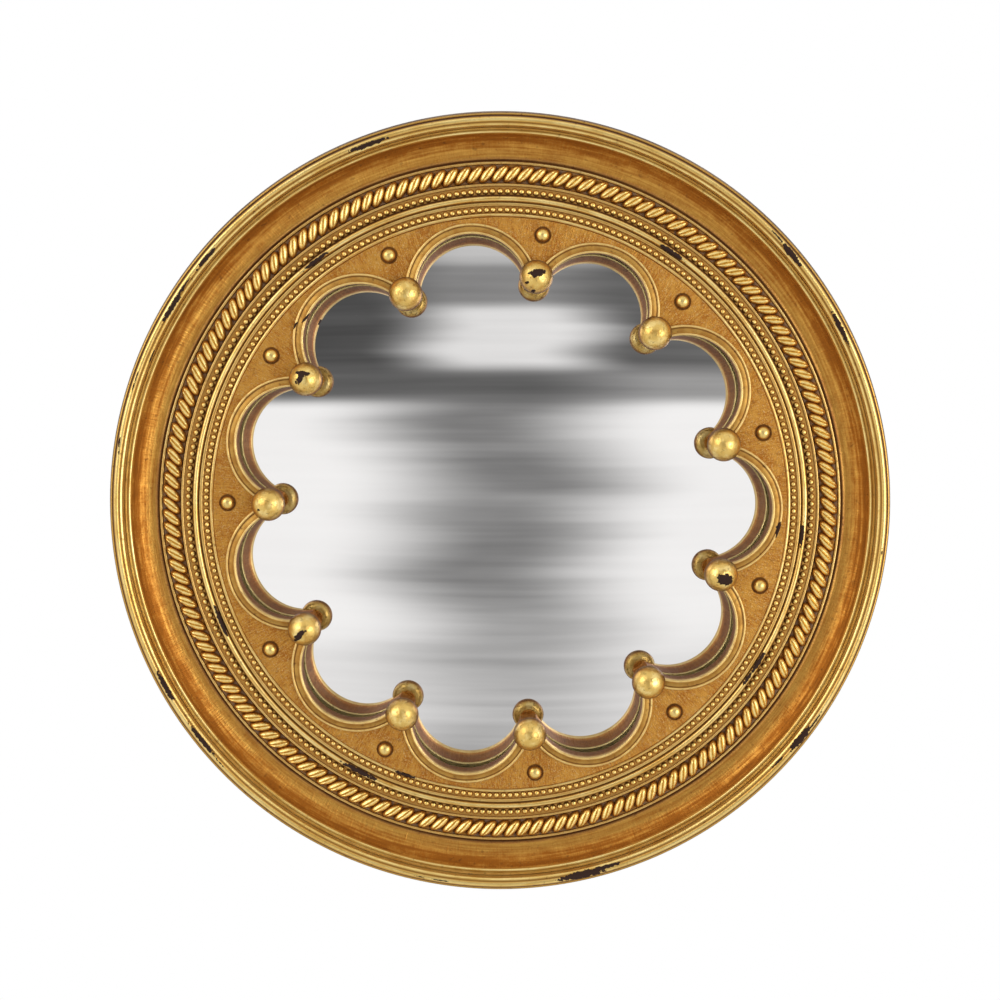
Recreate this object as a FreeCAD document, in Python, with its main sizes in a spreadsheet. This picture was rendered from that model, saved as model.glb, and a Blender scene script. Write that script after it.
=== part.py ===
# Convex butlers mirror: a gilded round frame with turned mouldings, a rope twist, two pearl
# strings, a scalloped arcade with balls at its cusps, a convex glass, and the back that holds it.
# Millimetres. The wall is the plane y = 0, the front faces -Y, +Z is up, and the frame's axis
# is the Y axis. Depths in the profiles are heights above the wall, so y is minus the height.
import FreeCAD, Part
import math
import os
import Sketcher
from FreeCAD import Placement, Rotation, Vector

SIZES = {
    # Frame ring: widths of its members, from the sight edge outwards.
    "sight_radius": 183.5,
    "lip_width": 2.4,
    "lip_easing": 0.5,
    "inner_channel_width": 4.4,
    "band_width": 2.0,
    "half_round_width": 4.6,
    "outer_channel_width": 6.0,
    "mid_fillet_width": 2.1,
    "rope_channel_width": 11.8,
    "rope_fillet_width": 1.9,
    "cove_quirk_width": 0.5,
    "cove_width": 17.7,
    "cove_bead_width": 0.7,
    "step_width": 1.0,
    "rim_quirk_width": 0.6,
    "rim_bead_width": 7.2,
    "rim_ledge_width": 1.8,
    "side_swell_width": 1.8,
    "side_cove_depth": 6.5,
    # Frame ring: heights of its members above its own back face.
    "lip_height": 32.0,
    "lip_web": 2.0,
    "inner_channel_height": 29.5,
    "band_height": 30.4,
    "half_round_height": 29.6,
    "outer_channel_height": 26.5,
    "mid_fillet_height": 27.6,
    "rope_channel_height": 25.0,
    "rope_fillet_height": 26.2,
    "cove_bottom_height": 24.4,
    "cove_top_height": 33.4,
    "cove_hollow": 2.4,
    "step_height": 36.8,
    "rim_bead_height": 39.4,
    "rim_ledge_height": 37.6,
    "side_swell_height": 29.0,
    "side_cove_height": 25.0,
    "side_cove_hollow": 3.0,
    "side_foot_height": 4.0,
    # Ornaments laid in the frame's channels.
    "rope_clearance": 0.1,
    "rope_rise": 5.0,
    "outer_pearl_radius": 1.9,
    "inner_pearl_radius": 1.8,
    # Arcade plate behind the lip, with its arches.
    "rebate_width": 7.0,
    "plate_clearance": 0.2,
    "flange_clearance": 0.8,
    "plate_thickness": 15.0,
    "field_drop": 1.0,
    "arch_count": 11,
    "first_ball_angle": 8.9,
    "crown_margin": 9.5,
    "web_width": 6.5,
    "cusp_reach": 8.3,
    # Mouldings round the arches.
    "moulding_width": 6.3,
    "moulding_bead_width": 2.6,
    "moulding_bead_height": 4.4,
    "moulding_edge_width": 1.6,
    "moulding_edge_height": 2.2,
    "moulding_hollow": 0.4,
    # Balls, their dowels and the studs.
    "ball_radius": 10.7,
    "ball_inset": 6.4,
    "ball_flat_radius": 7.5,
    "ball_flat_depth": 4.5,
    "ball_gap": 0.1,
    "seat_radius": 5.4,
    "seat_height": 1.5,
    "dowel_radius": 2.5,
    "dowel_in_plate": 8.0,
    "dowel_in_ball": 6.0,
    "glue_gap": 0.05,
    "stud_inset": 9.4,
    "stud_radius": 4.3,
    "stud_rise": 3.5,
    "stud_shank_radius": 0.8,
    "stud_shank_length": 6.0,
    "stud_groove_width": 0.9,
    "stud_groove_depth": 0.5,
    # Convex glass between its spacer and its packing.
    "glass_curve_radius": 1300.0,
    "glass_thickness": 3.0,
    "glass_edge_gap": 2.5,
    "cusp_gap": 0.35,
    "glass_play": 0.05,
    "spacer_width": 8.0,
    "packing_width": 10.0,
    # Backboard and what holds it.
    "backboard_thickness": 5.0,
    "backboard_clearance": 0.5,
    "ledge_width": 6.5,
    "button_count": 6,
    "button_setback": 8.0,
    "button_reach": 18.0,
    "button_width": 11.0,
    "button_thickness": 1.5,
    "button_play": 0.1,
    "button_screw_radius": 1.75,
    "button_screw_grip": 12.0,
    "button_head_radius": 3.4,
    "button_head_height": 1.5,
    # Hangers: a folded strap holding a D-shaped ring.
    "hanger_offset": 112.0,
    "hanger_setback": 8.17,
    "ring_wire_radius": 1.2,
    "ring_play": 0.1,
    "ring_half_width": 10.0,
    "ring_side_length": 5.2,
    "ring_bend_radius": 2.5,
    "strap_thickness": 0.9,
    "strap_width": 12.0,
    "strap_length": 27.0,
    "strap_curl_angle": 55.0,
    "hanger_screw_first": 8.5,
    "hanger_screw_pitch": 13.0,
    "hanger_screw_radius": 1.6,
    "hanger_screw_grip": 12.0,
    "hanger_head_radius": 3.0,
    "hanger_head_height": 1.2,
    # Rubber pads between the frame and the wall.
    "pad_height": 5.0,
    "pad_radius": 8.0,
    "pad_ring_inset": 25.0,
}

PAD_ANGLES = (45.0, 135.0, 225.0, 315.0)
SIDES = (("left", -1), ("right", 1))

document = FreeCAD.newDocument("ConvexButlersMirror")
sheet = document.addObject("Spreadsheet::Sheet", "Sizes")


class Size:
    """A length or count of the sheet: its value now and the formula that keeps it bound."""

    def __init__(self, value, formula):
        self.value = value
        self.formula = formula

    def __add__(self, other):
        other = as_size(other)
        return Size(self.value + other.value, f"({self.formula} + {other.formula})")

    def __sub__(self, other):
        other = as_size(other)
        return Size(self.value - other.value, f"({self.formula} - {other.formula})")

    def __mul__(self, other):
        other = as_size(other)
        return Size(self.value * other.value, f"({self.formula} * {other.formula})")

    def __truediv__(self, other):
        other = as_size(other)
        return Size(self.value / other.value, f"({self.formula} / {other.formula})")

    def __rsub__(self, other):
        return as_size(other) - self

    def __rtruediv__(self, other):
        return as_size(other) / self

    def __neg__(self):
        return as_size(0) - self

    __radd__ = __add__
    __rmul__ = __mul__


def as_size(number):
    """A plain number as a size, and a size as it is."""
    return number if isinstance(number, Size) else Size(number, str(number))


def root(size):
    return Size(math.sqrt(size.value), f"sqrt({size.formula})")


def sine(degrees):
    return Size(math.sin(math.radians(degrees.value)), f"sin({degrees.formula})")


def cosine(degrees):
    return Size(math.cos(math.radians(degrees.value)), f"cos({degrees.formula})")


def fill_sheet():
    """Write the driving dimensions to the sheet, a name beside each number."""
    sizes = {}
    for row, (name, number) in enumerate(SIZES.items(), start=1):
        sheet.set(f"A{row}", name)
        sheet.set(f"B{row}", str(number))
        sheet.setAlias(f"B{row}", name)
        sizes[name] = Size(number, f"Sizes.{name}")
    document.recompute()
    return sizes


S = fill_sheet()


def derived(name, size):
    """Keep a size that follows from others in the sheet under its own name."""
    row = len(S) + 1
    sheet.set(f"A{row}", name)
    sheet.set(f"B{row}", "=" + size.formula.replace("Sizes.", ""))
    sheet.setAlias(f"B{row}", name)
    S[name] = Size(size.value, f"Sizes.{name}")
    return S[name]


def bind(target, **formulas):
    """Bind properties to sheet formulas; a double underscore stands for the dot of a path."""
    for path, size in formulas.items():
        target.setExpression(path.replace("__", "."), as_size(size).formula)


def new_body(name, turn=None):
    """A body named for its piece, turned clockwise about the frame's axis as seen from the front."""
    body = document.addObject("PartDesign::Body", name)
    body.Label = name
    body.AllowCompound = True
    if turn is not None:
        body.Placement = Placement(Vector(0, 0, 0), Rotation(Vector(0, 1, 0), turn.value))
        bind(body, Placement__Rotation__Angle=turn)
    return body


def origin_feature(body, role):
    return next(item for item in body.Origin.OriginFeatures if item.Role == role)


def new_sketch(body, name, plane="XY_Plane", height=0):
    """A sketch on one of the body's planes, moved along that plane's normal by a height."""
    sketch = body.newObject("Sketcher::SketchObject", name)
    sketch.AttachmentSupport = [(origin_feature(body, plane), "")]
    sketch.MapMode = "FlatFace"
    bind(sketch, AttachmentOffset__Base__z=height)
    return sketch


def place_point(sketch, geometry, point, x, y):
    """Fix a point of a sketch at bound coordinates."""
    for kind, size in (("DistanceX", x), ("DistanceY", y)):
        index = sketch.addConstraint(Sketcher.Constraint(kind, geometry, point, size.value))
        sketch.setExpression(f"Constraints[{index}]", size.formula)


def arc_between(start, end, rise):
    """The arc from start to end that rises to the left of its chord, or to the right if negative."""
    across = end[0] - start[0]
    along = end[1] - start[1]
    chord = root(across * across + along * along)
    shift = (4 * rise * rise - chord * chord) / (8 * rise)
    centre = ((start[0] + end[0]) / 2 - along / chord * shift,
              (start[1] + end[1]) / 2 + across / chord * shift)
    middle = Vector(centre[0].value, centre[1].value, 0)
    angles = [math.atan2(y.value - middle.y, x.value - middle.x) for x, y in (start, end)]
    radius = math.dist((start[0].value, start[1].value), (middle.x, middle.y))
    if rise.value > 0:
        angles.reverse()
    arc = Part.ArcOfCircle(Part.Circle(middle, Vector(0, 0, 1), radius), *angles)
    return arc, centre, abs(across.value) >= abs(along.value)


def draw_outline(sketch, corners):
    """A closed outline through corners (x, y), or (x, y, rise) where an arc leads to the corner."""
    corners = [tuple(as_size(value) for value in corner) for corner in corners]
    ends = []
    for index, corner in enumerate(corners):
        start = corners[index - 1]
        if len(corner) == 2:
            line = Part.LineSegment(Vector(start[0].value, start[1].value, 0),
                                    Vector(corner[0].value, corner[1].value, 0))
            ends.append((sketch.addGeometry(line), 1, 2))
            continue
        arc, centre, level = arc_between(start[:2], corner[:2], corner[2])
        geometry = sketch.addGeometry(arc)
        ends.append((geometry, 2, 1) if corner[2].value > 0 else (geometry, 1, 2))
        kind, size = ("DistanceY", centre[1]) if level else ("DistanceX", centre[0])
        bound = sketch.addConstraint(Sketcher.Constraint(kind, geometry, 3, size.value))
        sketch.setExpression(f"Constraints[{bound}]", size.formula)
    for index, (geometry, _, tail) in enumerate(ends):
        following, head, _ = ends[(index + 1) % len(ends)]
        sketch.addConstraint(Sketcher.Constraint("Coincident", geometry, tail, following, head))
        place_point(sketch, geometry, tail, corners[index][0], corners[index][1])


def draw_axis(sketch, x):
    """A construction line parallel to the frame's axis, to turn a section about."""
    line = Part.LineSegment(Vector(x.value, -1, 0), Vector(x.value, 0, 0))
    geometry = sketch.addGeometry(line, True)
    place_point(sketch, geometry, 1, x, as_size(-1))
    place_point(sketch, geometry, 2, x, as_size(0))


def draw_circle(sketch, x, y, radius):
    circle = Part.Circle(Vector(x.value, y.value, 0), Vector(0, 0, 1), radius.value)
    geometry = sketch.addGeometry(circle)
    place_point(sketch, geometry, 3, x, y)
    index = sketch.addConstraint(Sketcher.Constraint("Radius", geometry, radius.value))
    sketch.setExpression(f"Constraints[{index}]", radius.formula)


def revolve(body, section, axis="V_Axis"):
    """Turn a section full circle about the frame's axis, or about the sketch's own line."""
    feature = body.newObject("PartDesign::Revolution", section.Name + "_turned")
    feature.Profile = section
    feature.ReferenceAxis = (section, [axis])
    feature.Angle = 360
    section.Visibility = False
    return feature


def pad(body, sketch, length):
    feature = body.newObject("PartDesign::Pad", sketch.Name + "_raised")
    feature.Profile = sketch
    bind(feature, Length=length)
    return feature


def pocket(body, sketch, depth=None):
    """Cut a sketch right through both ways, or to a depth towards the wall."""
    feature = body.newObject("PartDesign::Pocket", sketch.Name + "_cut")
    feature.Profile = sketch
    if depth is None:
        feature.Type = "ThroughAll"
        feature.Midplane = True
    else:
        bind(feature, Length=depth)
    return feature


def repeat(body, features, count):
    """Repeat features evenly round the frame's axis and make the pattern the body's tip."""
    pattern = body.newObject("PartDesign::PolarPattern", features[0].Name + "_ring")
    pattern.Originals = features
    pattern.Axis = (origin_feature(body, "Y_Axis"), [""])
    pattern.Angle = 360
    bind(pattern, Occurrences=count)
    body.Tip = pattern
    return pattern


def ring_section(name, corners):
    """A body turned from one outline about the frame's axis."""
    body = new_body(name)
    sketch = new_sketch(body, name + "_section")
    draw_outline(sketch, corners)
    revolve(body, sketch)
    return body


# Radii that follow from the widths, from the sight edge outwards.
lip_outer = derived("lip_outer_radius", S["sight_radius"] + S["lip_width"])
inner_channel_outer = derived("inner_channel_outer_radius", lip_outer + S["inner_channel_width"])
half_round_inner = derived("half_round_inner_radius", inner_channel_outer + S["band_width"])
half_round_outer = derived("half_round_outer_radius", half_round_inner + S["half_round_width"])
mid_fillet_inner = derived("mid_fillet_inner_radius", half_round_outer + S["outer_channel_width"])
rope_inner = derived("rope_channel_inner_radius", mid_fillet_inner + S["mid_fillet_width"])
rope_outer = derived("rope_channel_outer_radius", rope_inner + S["rope_channel_width"])
rope_fillet_outer = derived("rope_fillet_outer_radius", rope_outer + S["rope_fillet_width"])
cove_inner = derived("cove_inner_radius", rope_fillet_outer + S["cove_quirk_width"])
cove_outer = derived("cove_outer_radius", cove_inner + S["cove_width"])
cove_bead_outer = derived("cove_bead_outer_radius", cove_outer + S["cove_bead_width"])
step_outer = derived("step_outer_radius", cove_bead_outer + S["step_width"])
rim_bead_inner = derived("rim_bead_inner_radius", step_outer + S["rim_quirk_width"])
rim_bead_outer = derived("rim_bead_outer_radius", rim_bead_inner + S["rim_bead_width"])
rim_ledge_outer = derived("rim_ledge_outer_radius", rim_bead_outer + S["rim_ledge_width"])
frame_radius = derived("frame_outer_radius", rim_ledge_outer + S["side_swell_width"])
back_radius = derived("frame_back_radius", frame_radius - S["side_cove_depth"])
rebate_radius = derived("rebate_radius", S["sight_radius"] + S["rebate_width"])

# Heights above the wall.
back_face = S["pad_height"]
lip_top = derived("lip_top", back_face + S["lip_height"])
lip_underside = derived("lip_underside", back_face + S["inner_channel_height"] - S["lip_web"])
board_front = derived("board_front", back_face + S["backboard_thickness"])
board_radius = derived("board_radius", rebate_radius + S["ledge_width"])
board_recess = derived("board_recess_radius", board_radius + S["backboard_clearance"])
field = derived("field_height", lip_top + S["field_drop"])
plate_back = derived("plate_back", field - S["plate_thickness"])

# Arches: circles about points of one ring, with webs between them that end at the cusps.
half_pitch = derived("half_pitch_angle", 180 / S["arch_count"])
crown_radius = derived("crown_radius", S["sight_radius"] - S["crown_margin"])
arch_ring = derived("arch_ring_radius",
                    (crown_radius + S["web_width"] / 2) / (1 + sine(half_pitch)))
arch_radius = derived("arch_radius", crown_radius - arch_ring)
tip_radius = derived("tip_radius", arch_ring * cosine(half_pitch) + S["cusp_reach"])
ball_ring = derived("ball_ring_radius", tip_radius + S["ball_inset"])
stud_ring = derived("stud_ring_radius", S["sight_radius"] - S["stud_inset"])
ball_turn = derived("ball_turn_angle", S["first_ball_angle"] - 90)
arch_turn = derived("arch_turn_angle", ball_turn + half_pitch)
ball_side = (ball_ring * cosine(half_pitch), ball_ring * sine(half_pitch))
arch_centre = (arch_ring * cosine(half_pitch), arch_ring * sine(half_pitch))
ball_back = derived("ball_back", field + S["seat_height"])
ball_middle = derived("ball_middle", ball_back + S["ball_flat_depth"])

# Glass: its front is a sphere that nearly meets the plate's back at the cusps.
glass_radius = derived("glass_radius", rebate_radius - S["glass_edge_gap"])


def sagitta(radius):
    """How far the glass falls away from its apex at a radius."""
    curve = S["glass_curve_radius"]
    return curve - root(curve * curve - radius * radius)


glass_apex = derived("glass_apex", plate_back - S["cusp_gap"] + sagitta(tip_radius))
glass_rise = derived("glass_rise", sagitta(glass_radius))
glass_edge = derived("glass_edge", glass_apex - glass_rise)


def glass_front_at(radius):
    return glass_apex - sagitta(radius)


# Fixings on the back face.
button_ring = derived("button_ring_radius", board_recess + S["button_setback"])
button_face = derived("button_face", back_face - S["button_play"] - S["button_thickness"])
pad_ring = derived("pad_ring_radius", frame_radius - S["pad_ring_inset"])
hanger_screw_ring = derived("hanger_screw_ring_radius", board_recess + S["hanger_setback"])
hanger_screw_low = derived("hanger_screw_low",
                           root(hanger_screw_ring * hanger_screw_ring
                                - S["hanger_offset"] * S["hanger_offset"]))
hanger_screw_top = derived("hanger_screw_top", hanger_screw_low + S["hanger_screw_pitch"])
hanger_rise = derived("hanger_rise", hanger_screw_top + S["hanger_screw_first"])
hanger_screw_rises = (hanger_screw_top, hanger_screw_top - S["hanger_screw_pitch"])
eye_inner = derived("eye_inner_radius", S["ring_wire_radius"] + S["ring_play"])
eye_outer = derived("eye_outer_radius", eye_inner + S["strap_thickness"])
eye_middle = derived("eye_middle", back_face - eye_outer)


def make_frame_ring():
    """The turned ring: rebate, channels, half-round, cove, rim bead and swelling side."""
    inner_channel = back_face + S["inner_channel_height"]
    half_round = back_face + S["half_round_height"]
    outer_channel = back_face + S["outer_channel_height"]
    mid_fillet = back_face + S["mid_fillet_height"]
    rope_floor = back_face + S["rope_channel_height"]
    rope_fillet = back_face + S["rope_fillet_height"]
    cove_bottom = back_face + S["cove_bottom_height"]
    cove_top = back_face + S["cove_top_height"]
    step = back_face + S["step_height"]
    rim_bead = back_face + S["rim_bead_height"]
    rim_ledge = back_face + S["rim_ledge_height"]
    swell = back_face + S["side_swell_height"]
    side_cove = back_face + S["side_cove_height"]
    side_foot = back_face + S["side_foot_height"]
    easing = S["lip_easing"]
    body = ring_section("frame_ring", [
        (board_recess, -back_face),
        (board_recess, -board_front),
        (rebate_radius, -board_front),
        (rebate_radius, -lip_underside),
        (S["sight_radius"], -lip_underside),
        (S["sight_radius"], -(lip_top - easing)),
        (S["sight_radius"] + easing, -lip_top),
        (lip_outer, -lip_top),
        (lip_outer, -inner_channel),
        (inner_channel_outer, -inner_channel),
        (half_round_inner, -(back_face + S["band_height"])),
        (half_round_inner, -half_round),
        (half_round_outer, -half_round, -S["half_round_width"] / 2),
        (half_round_outer, -outer_channel),
        (mid_fillet_inner, -outer_channel),
        (mid_fillet_inner, -mid_fillet),
        (rope_inner, -mid_fillet),
        (rope_inner, -rope_floor),
        (rope_outer, -rope_floor),
        (rope_outer, -rope_fillet),
        (rope_fillet_outer, -rope_fillet),
        (rope_fillet_outer, -cove_bottom),
        (cove_inner, -cove_bottom),
        (cove_outer, -cove_top, S["cove_hollow"]),
        (cove_bead_outer, -cove_top),
        (cove_bead_outer, -step),
        (step_outer, -step),
        (step_outer, -rim_bead),
        (rim_bead_inner, -rim_bead),
        (rim_bead_outer, -rim_bead, -S["rim_bead_width"] / 2),
        (rim_bead_outer, -rim_ledge),
        (rim_ledge_outer, -rim_ledge),
        (frame_radius, -swell),
        (frame_radius, -side_cove),
        (back_radius, -side_foot, S["side_cove_hollow"]),
        (back_radius, -back_face),
    ])
    button_holes = new_sketch(body, "button_screw_holes", "XZ_Plane", back_face)
    draw_circle(button_holes, as_size(0), button_ring, S["button_screw_radius"])
    cut = pocket(body, button_holes, S["button_screw_grip"])
    cut.Reversed = True
    repeat(body, [cut], S["button_count"])
    hanger_holes = new_sketch(body, "hanger_screw_holes", "XZ_Plane", back_face)
    for _, side in SIDES:
        for rise in hanger_screw_rises:
            draw_circle(hanger_holes, side * S["hanger_offset"], rise, S["hanger_screw_radius"])
    cut = pocket(body, hanger_holes, S["hanger_screw_grip"])
    cut.Reversed = True
    return body


def make_ornament_rings():
    """The rope twist, half-round, and both pearl strings, faceted, on their channels' floors."""
    rope_floor = back_face + S["rope_channel_height"]
    ring_section("rope_twist", [
        (rope_inner + S["rope_clearance"], -rope_floor),
        (rope_outer - S["rope_clearance"], -rope_floor, -S["rope_rise"]),
    ])
    channels = (
        ("outer_pearl_string", half_round_outer, mid_fillet_inner,
         S["outer_channel_height"], S["outer_pearl_radius"]),
        ("inner_pearl_string", lip_outer, inner_channel_outer,
         S["inner_channel_height"], S["inner_pearl_radius"]),
    )
    for name, inner, outer, height, radius in channels:
        middle = (inner + outer) / 2
        floor = back_face + height
        facet = radius * (math.sqrt(2) - 1)
        ring_section(name, [
            (middle - radius, -floor),
            (middle - radius, -(floor + facet)),
            (middle - facet, -(floor + radius)),
            (middle + facet, -(floor + radius)),
            (middle + radius, -(floor + facet)),
            (middle + radius, -floor),
        ])


def make_arcade_plate():
    """The plate behind the lip, cut by the arches, with seats for balls and holes for studs."""
    body = new_body("arcade_plate", ball_turn)
    section = new_sketch(body, "plate_section")
    body_radius = S["sight_radius"] - S["plate_clearance"]
    flange_radius = rebate_radius - S["flange_clearance"]
    draw_outline(section, [
        (tip_radius, -plate_back),
        (tip_radius, -field),
        (body_radius, -field),
        (body_radius, -lip_underside),
        (flange_radius, -lip_underside),
        (flange_radius, -plate_back),
    ])
    revolve(body, section)
    arch = new_sketch(body, "arch_opening", "XZ_Plane")
    draw_circle(arch, *arch_centre, arch_radius)
    arch_cut = pocket(body, arch)
    seat = new_sketch(body, "ball_seat", "XZ_Plane", field)
    draw_circle(seat, ball_ring, as_size(0), S["seat_radius"])
    seat_pad = pad(body, seat, S["seat_height"])
    dowel_hole = new_sketch(body, "dowel_hole", "XZ_Plane", ball_back)
    draw_circle(dowel_hole, ball_ring, as_size(0), S["dowel_radius"] + S["glue_gap"])
    dowel_cut = pocket(body, dowel_hole, S["dowel_in_plate"] + S["glue_gap"])
    groove = new_sketch(body, "stud_groove", "XZ_Plane", field)
    for radius in (S["stud_radius"], S["stud_radius"] + S["stud_groove_width"]):
        draw_circle(groove, stud_ring, as_size(0), radius)
    groove_cut = pocket(body, groove, S["stud_groove_depth"])
    shank_hole = new_sketch(body, "shank_hole", "XZ_Plane", field)
    draw_circle(shank_hole, stud_ring, as_size(0), S["stud_shank_radius"] + S["glue_gap"])
    shank_cut = pocket(body, shank_hole, S["stud_shank_length"] + S["glue_gap"])
    repeat(body, [arch_cut, seat_pad, dowel_cut, groove_cut, shank_cut], S["arch_count"])
    return body


def make_arch_mouldings():
    """A moulding round each arch: inner bead, hollow and outer bead, coped to the balls."""
    body = new_body("arch_mouldings", arch_turn)
    section = new_sketch(body, "moulding_section")
    inner = arch_ring + arch_radius
    bead_outer = inner + S["moulding_bead_width"]
    outer = inner + S["moulding_width"]
    edge_inner = outer - S["moulding_edge_width"]
    bead = field + S["moulding_bead_height"]
    edge = field + S["moulding_edge_height"]
    draw_outline(section, [
        (inner, -field),
        (inner, -bead),
        (bead_outer, -bead, -S["moulding_bead_width"] / 2),
        (edge_inner, -edge, S["moulding_hollow"]),
        (outer, -edge, -S["moulding_edge_width"] / 2),
        (outer, -field),
    ])
    draw_axis(section, arch_ring)
    turned = revolve(body, section, "Axis0")
    coping = new_sketch(body, "moulding_coping", "XZ_Plane")
    draw_circle(coping, as_size(0), as_size(0), ball_ring)
    inside_cut = pocket(body, coping)
    ball_cuts = []
    for side in (-1, 1):
        notch = new_sketch(body, "ball_notch" + ("_low" if side < 0 else "_high"), "XZ_Plane")
        draw_circle(notch, ball_side[0], side * ball_side[1], S["ball_radius"] + S["ball_gap"])
        ball_cuts.append(pocket(body, notch))
    repeat(body, [turned, inside_cut] + ball_cuts, S["arch_count"])
    return body


def cap_rise(radius, height):
    """The rise of the arc from a dome's top to its rim, over the chord between them."""
    sphere = (radius * radius + height * height) / (2 * height)
    chord = root(radius * radius + height * height)
    return sphere - root(sphere * sphere - chord * chord / 4)


def make_cusp_balls():
    """Balls with a round front and a flat back, bored for their dowels."""
    body = new_body("cusp_balls", ball_turn)
    section = new_sketch(body, "ball_section")
    radius = S["ball_radius"]
    bore = S["dowel_radius"] + S["glue_gap"]
    bore_end = ball_back + S["dowel_in_ball"] + S["glue_gap"]
    draw_outline(section, [
        (ball_ring, -(ball_middle + radius)),
        (ball_ring + radius, -ball_middle, -cap_rise(radius, radius)),
        (ball_ring + S["ball_flat_radius"], -ball_back,
         -cap_rise(S["ball_flat_depth"], radius - S["ball_flat_radius"])),
        (ball_ring + bore, -ball_back),
        (ball_ring + bore, -bore_end),
        (ball_ring, -bore_end),
    ])
    draw_axis(section, ball_ring)
    repeat(body, [revolve(body, section, "Axis0")], S["arch_count"])
    return body


def make_ball_dowels():
    body = new_body("ball_dowels", ball_turn)
    section = new_sketch(body, "dowel_circle", "XZ_Plane", ball_back - S["dowel_in_plate"])
    draw_circle(section, ball_ring, as_size(0), S["dowel_radius"])
    dowel = pad(body, section, S["dowel_in_plate"] + S["dowel_in_ball"])
    repeat(body, [dowel], S["arch_count"])
    return body


def make_spandrel_studs():
    """Domed studs on thin shanks driven into the plate between the arches."""
    body = new_body("spandrel_studs", ball_turn)
    section = new_sketch(body, "stud_section")
    radius = S["stud_radius"]
    shank = S["stud_shank_radius"]
    shank_end = field - S["stud_shank_length"]
    draw_outline(section, [
        (stud_ring, -(field + S["stud_rise"])),
        (stud_ring + radius, -field, -cap_rise(radius, S["stud_rise"])),
        (stud_ring + shank, -field),
        (stud_ring + shank, -shank_end),
        (stud_ring, -shank_end),
    ])
    draw_axis(section, stud_ring)
    repeat(body, [revolve(body, section, "Axis0")], S["arch_count"])
    return body


def make_glass():
    """The convex glass: one curve for its front, the same curve a thickness behind it."""
    chord = root(glass_radius * glass_radius + glass_rise * glass_rise)
    curve = S["glass_curve_radius"]
    rise = curve - root(curve * curve - chord * chord / 4)
    thickness = S["glass_thickness"]
    return ring_section("mirror_glass", [
        (as_size(0), -(glass_apex - thickness), rise),
        (as_size(0), -glass_apex),
        (glass_radius, -glass_edge, -rise),
        (glass_radius, -(glass_edge - thickness)),
    ])


def make_glass_seats():
    """The dark spacer before the glass's edge and the packing ring behind it."""
    play = S["glass_play"]
    inner = glass_radius - S["spacer_width"]
    ring_section("glass_spacer", [
        (inner, -(glass_front_at(inner) + play)),
        (inner, -plate_back),
        (glass_radius, -plate_back),
        (glass_radius, -(glass_edge + play)),
    ])
    inner = glass_radius - S["packing_width"]
    behind = S["glass_thickness"] + play
    ring_section("packing_ring", [
        (inner, -board_front),
        (inner, -(glass_front_at(inner) - behind)),
        (glass_radius, -(glass_edge - behind)),
        (glass_radius, -board_front),
    ])


def disc(name, x, z, height, radius, thickness):
    """A short cylinder along the frame's axis that rises from a height above the wall."""
    cylinder = document.addObject("Part::Cylinder", name)
    cylinder.Label = name
    cylinder.Placement = Placement(Vector(0, 0, 0), Rotation(Vector(1, 0, 0), 90))
    bind(cylinder, Radius=radius, Height=thickness)
    bind(cylinder, Placement__Base__x=x, Placement__Base__y=-as_size(height), Placement__Base__z=z)
    return cylinder


def screw(name, x, z, head_face, head, shank, grip):
    """A pan-headed screw from under its head to its grip in the frame's back."""
    head_radius, head_height = head
    head_disc = disc(name + "_head", x, z, head_face - head_height, head_radius, head_height)
    shaft = disc(name + "_shank", x, z, head_face, shank, back_face + grip - head_face)
    fused = document.addObject("Part::Fuse", name)
    fused.Base = head_disc
    fused.Tool = shaft
    return fused


def group(name, members):
    compound = document.addObject("Part::Compound", name)
    compound.Label = name
    compound.Links = members
    return compound


def around(index, count, ring):
    """A place on a ring, counted clockwise from the top as seen from the front."""
    angle = 360 * index / count
    return ring * sine(angle), ring * cosine(angle)


def make_backboard():
    return disc("backboard", as_size(0), as_size(0), back_face, board_radius,
                S["backboard_thickness"])


def make_turn_buttons():
    """Rounded sheet buttons that hold the backboard, each on a screw of its own."""
    count = S["button_count"]
    half_width = S["button_width"] / 2
    names = []
    screws = []
    for index in range(SIZES["button_count"]):
        name = f"turn_button_{index + 1}"
        body = new_body(name, as_size(index) * 360 / count)
        blank = new_sketch(body, name + "_blank", "XZ_Plane", button_face)
        low = button_ring - S["button_reach"] + half_width
        draw_outline(blank, [
            (-half_width, button_ring),
            (-half_width, low),
            (half_width, low, -half_width),
            (half_width, button_ring),
            (-half_width, button_ring, -half_width),
        ][1:])
        draw_circle(blank, as_size(0), button_ring, S["button_screw_radius"] + S["glue_gap"])
        pad(body, blank, S["button_thickness"])
        names.append(name)
        x, z = around(as_size(index), count, button_ring)
        screws.append(screw(f"button_screw_{index + 1}", x, z, button_face - S["button_play"],
                            (S["button_head_radius"], S["button_head_height"]),
                            S["button_screw_radius"], S["button_screw_grip"]))
    group("turn_button_screws", screws)
    return names


def move_to_hanger(body, side):
    """Carry a piece drawn about its eye to one of the two hangers."""
    bind(body, Placement__Base__x=side * S["hanger_offset"], Placement__Base__z=hanger_rise)


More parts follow.
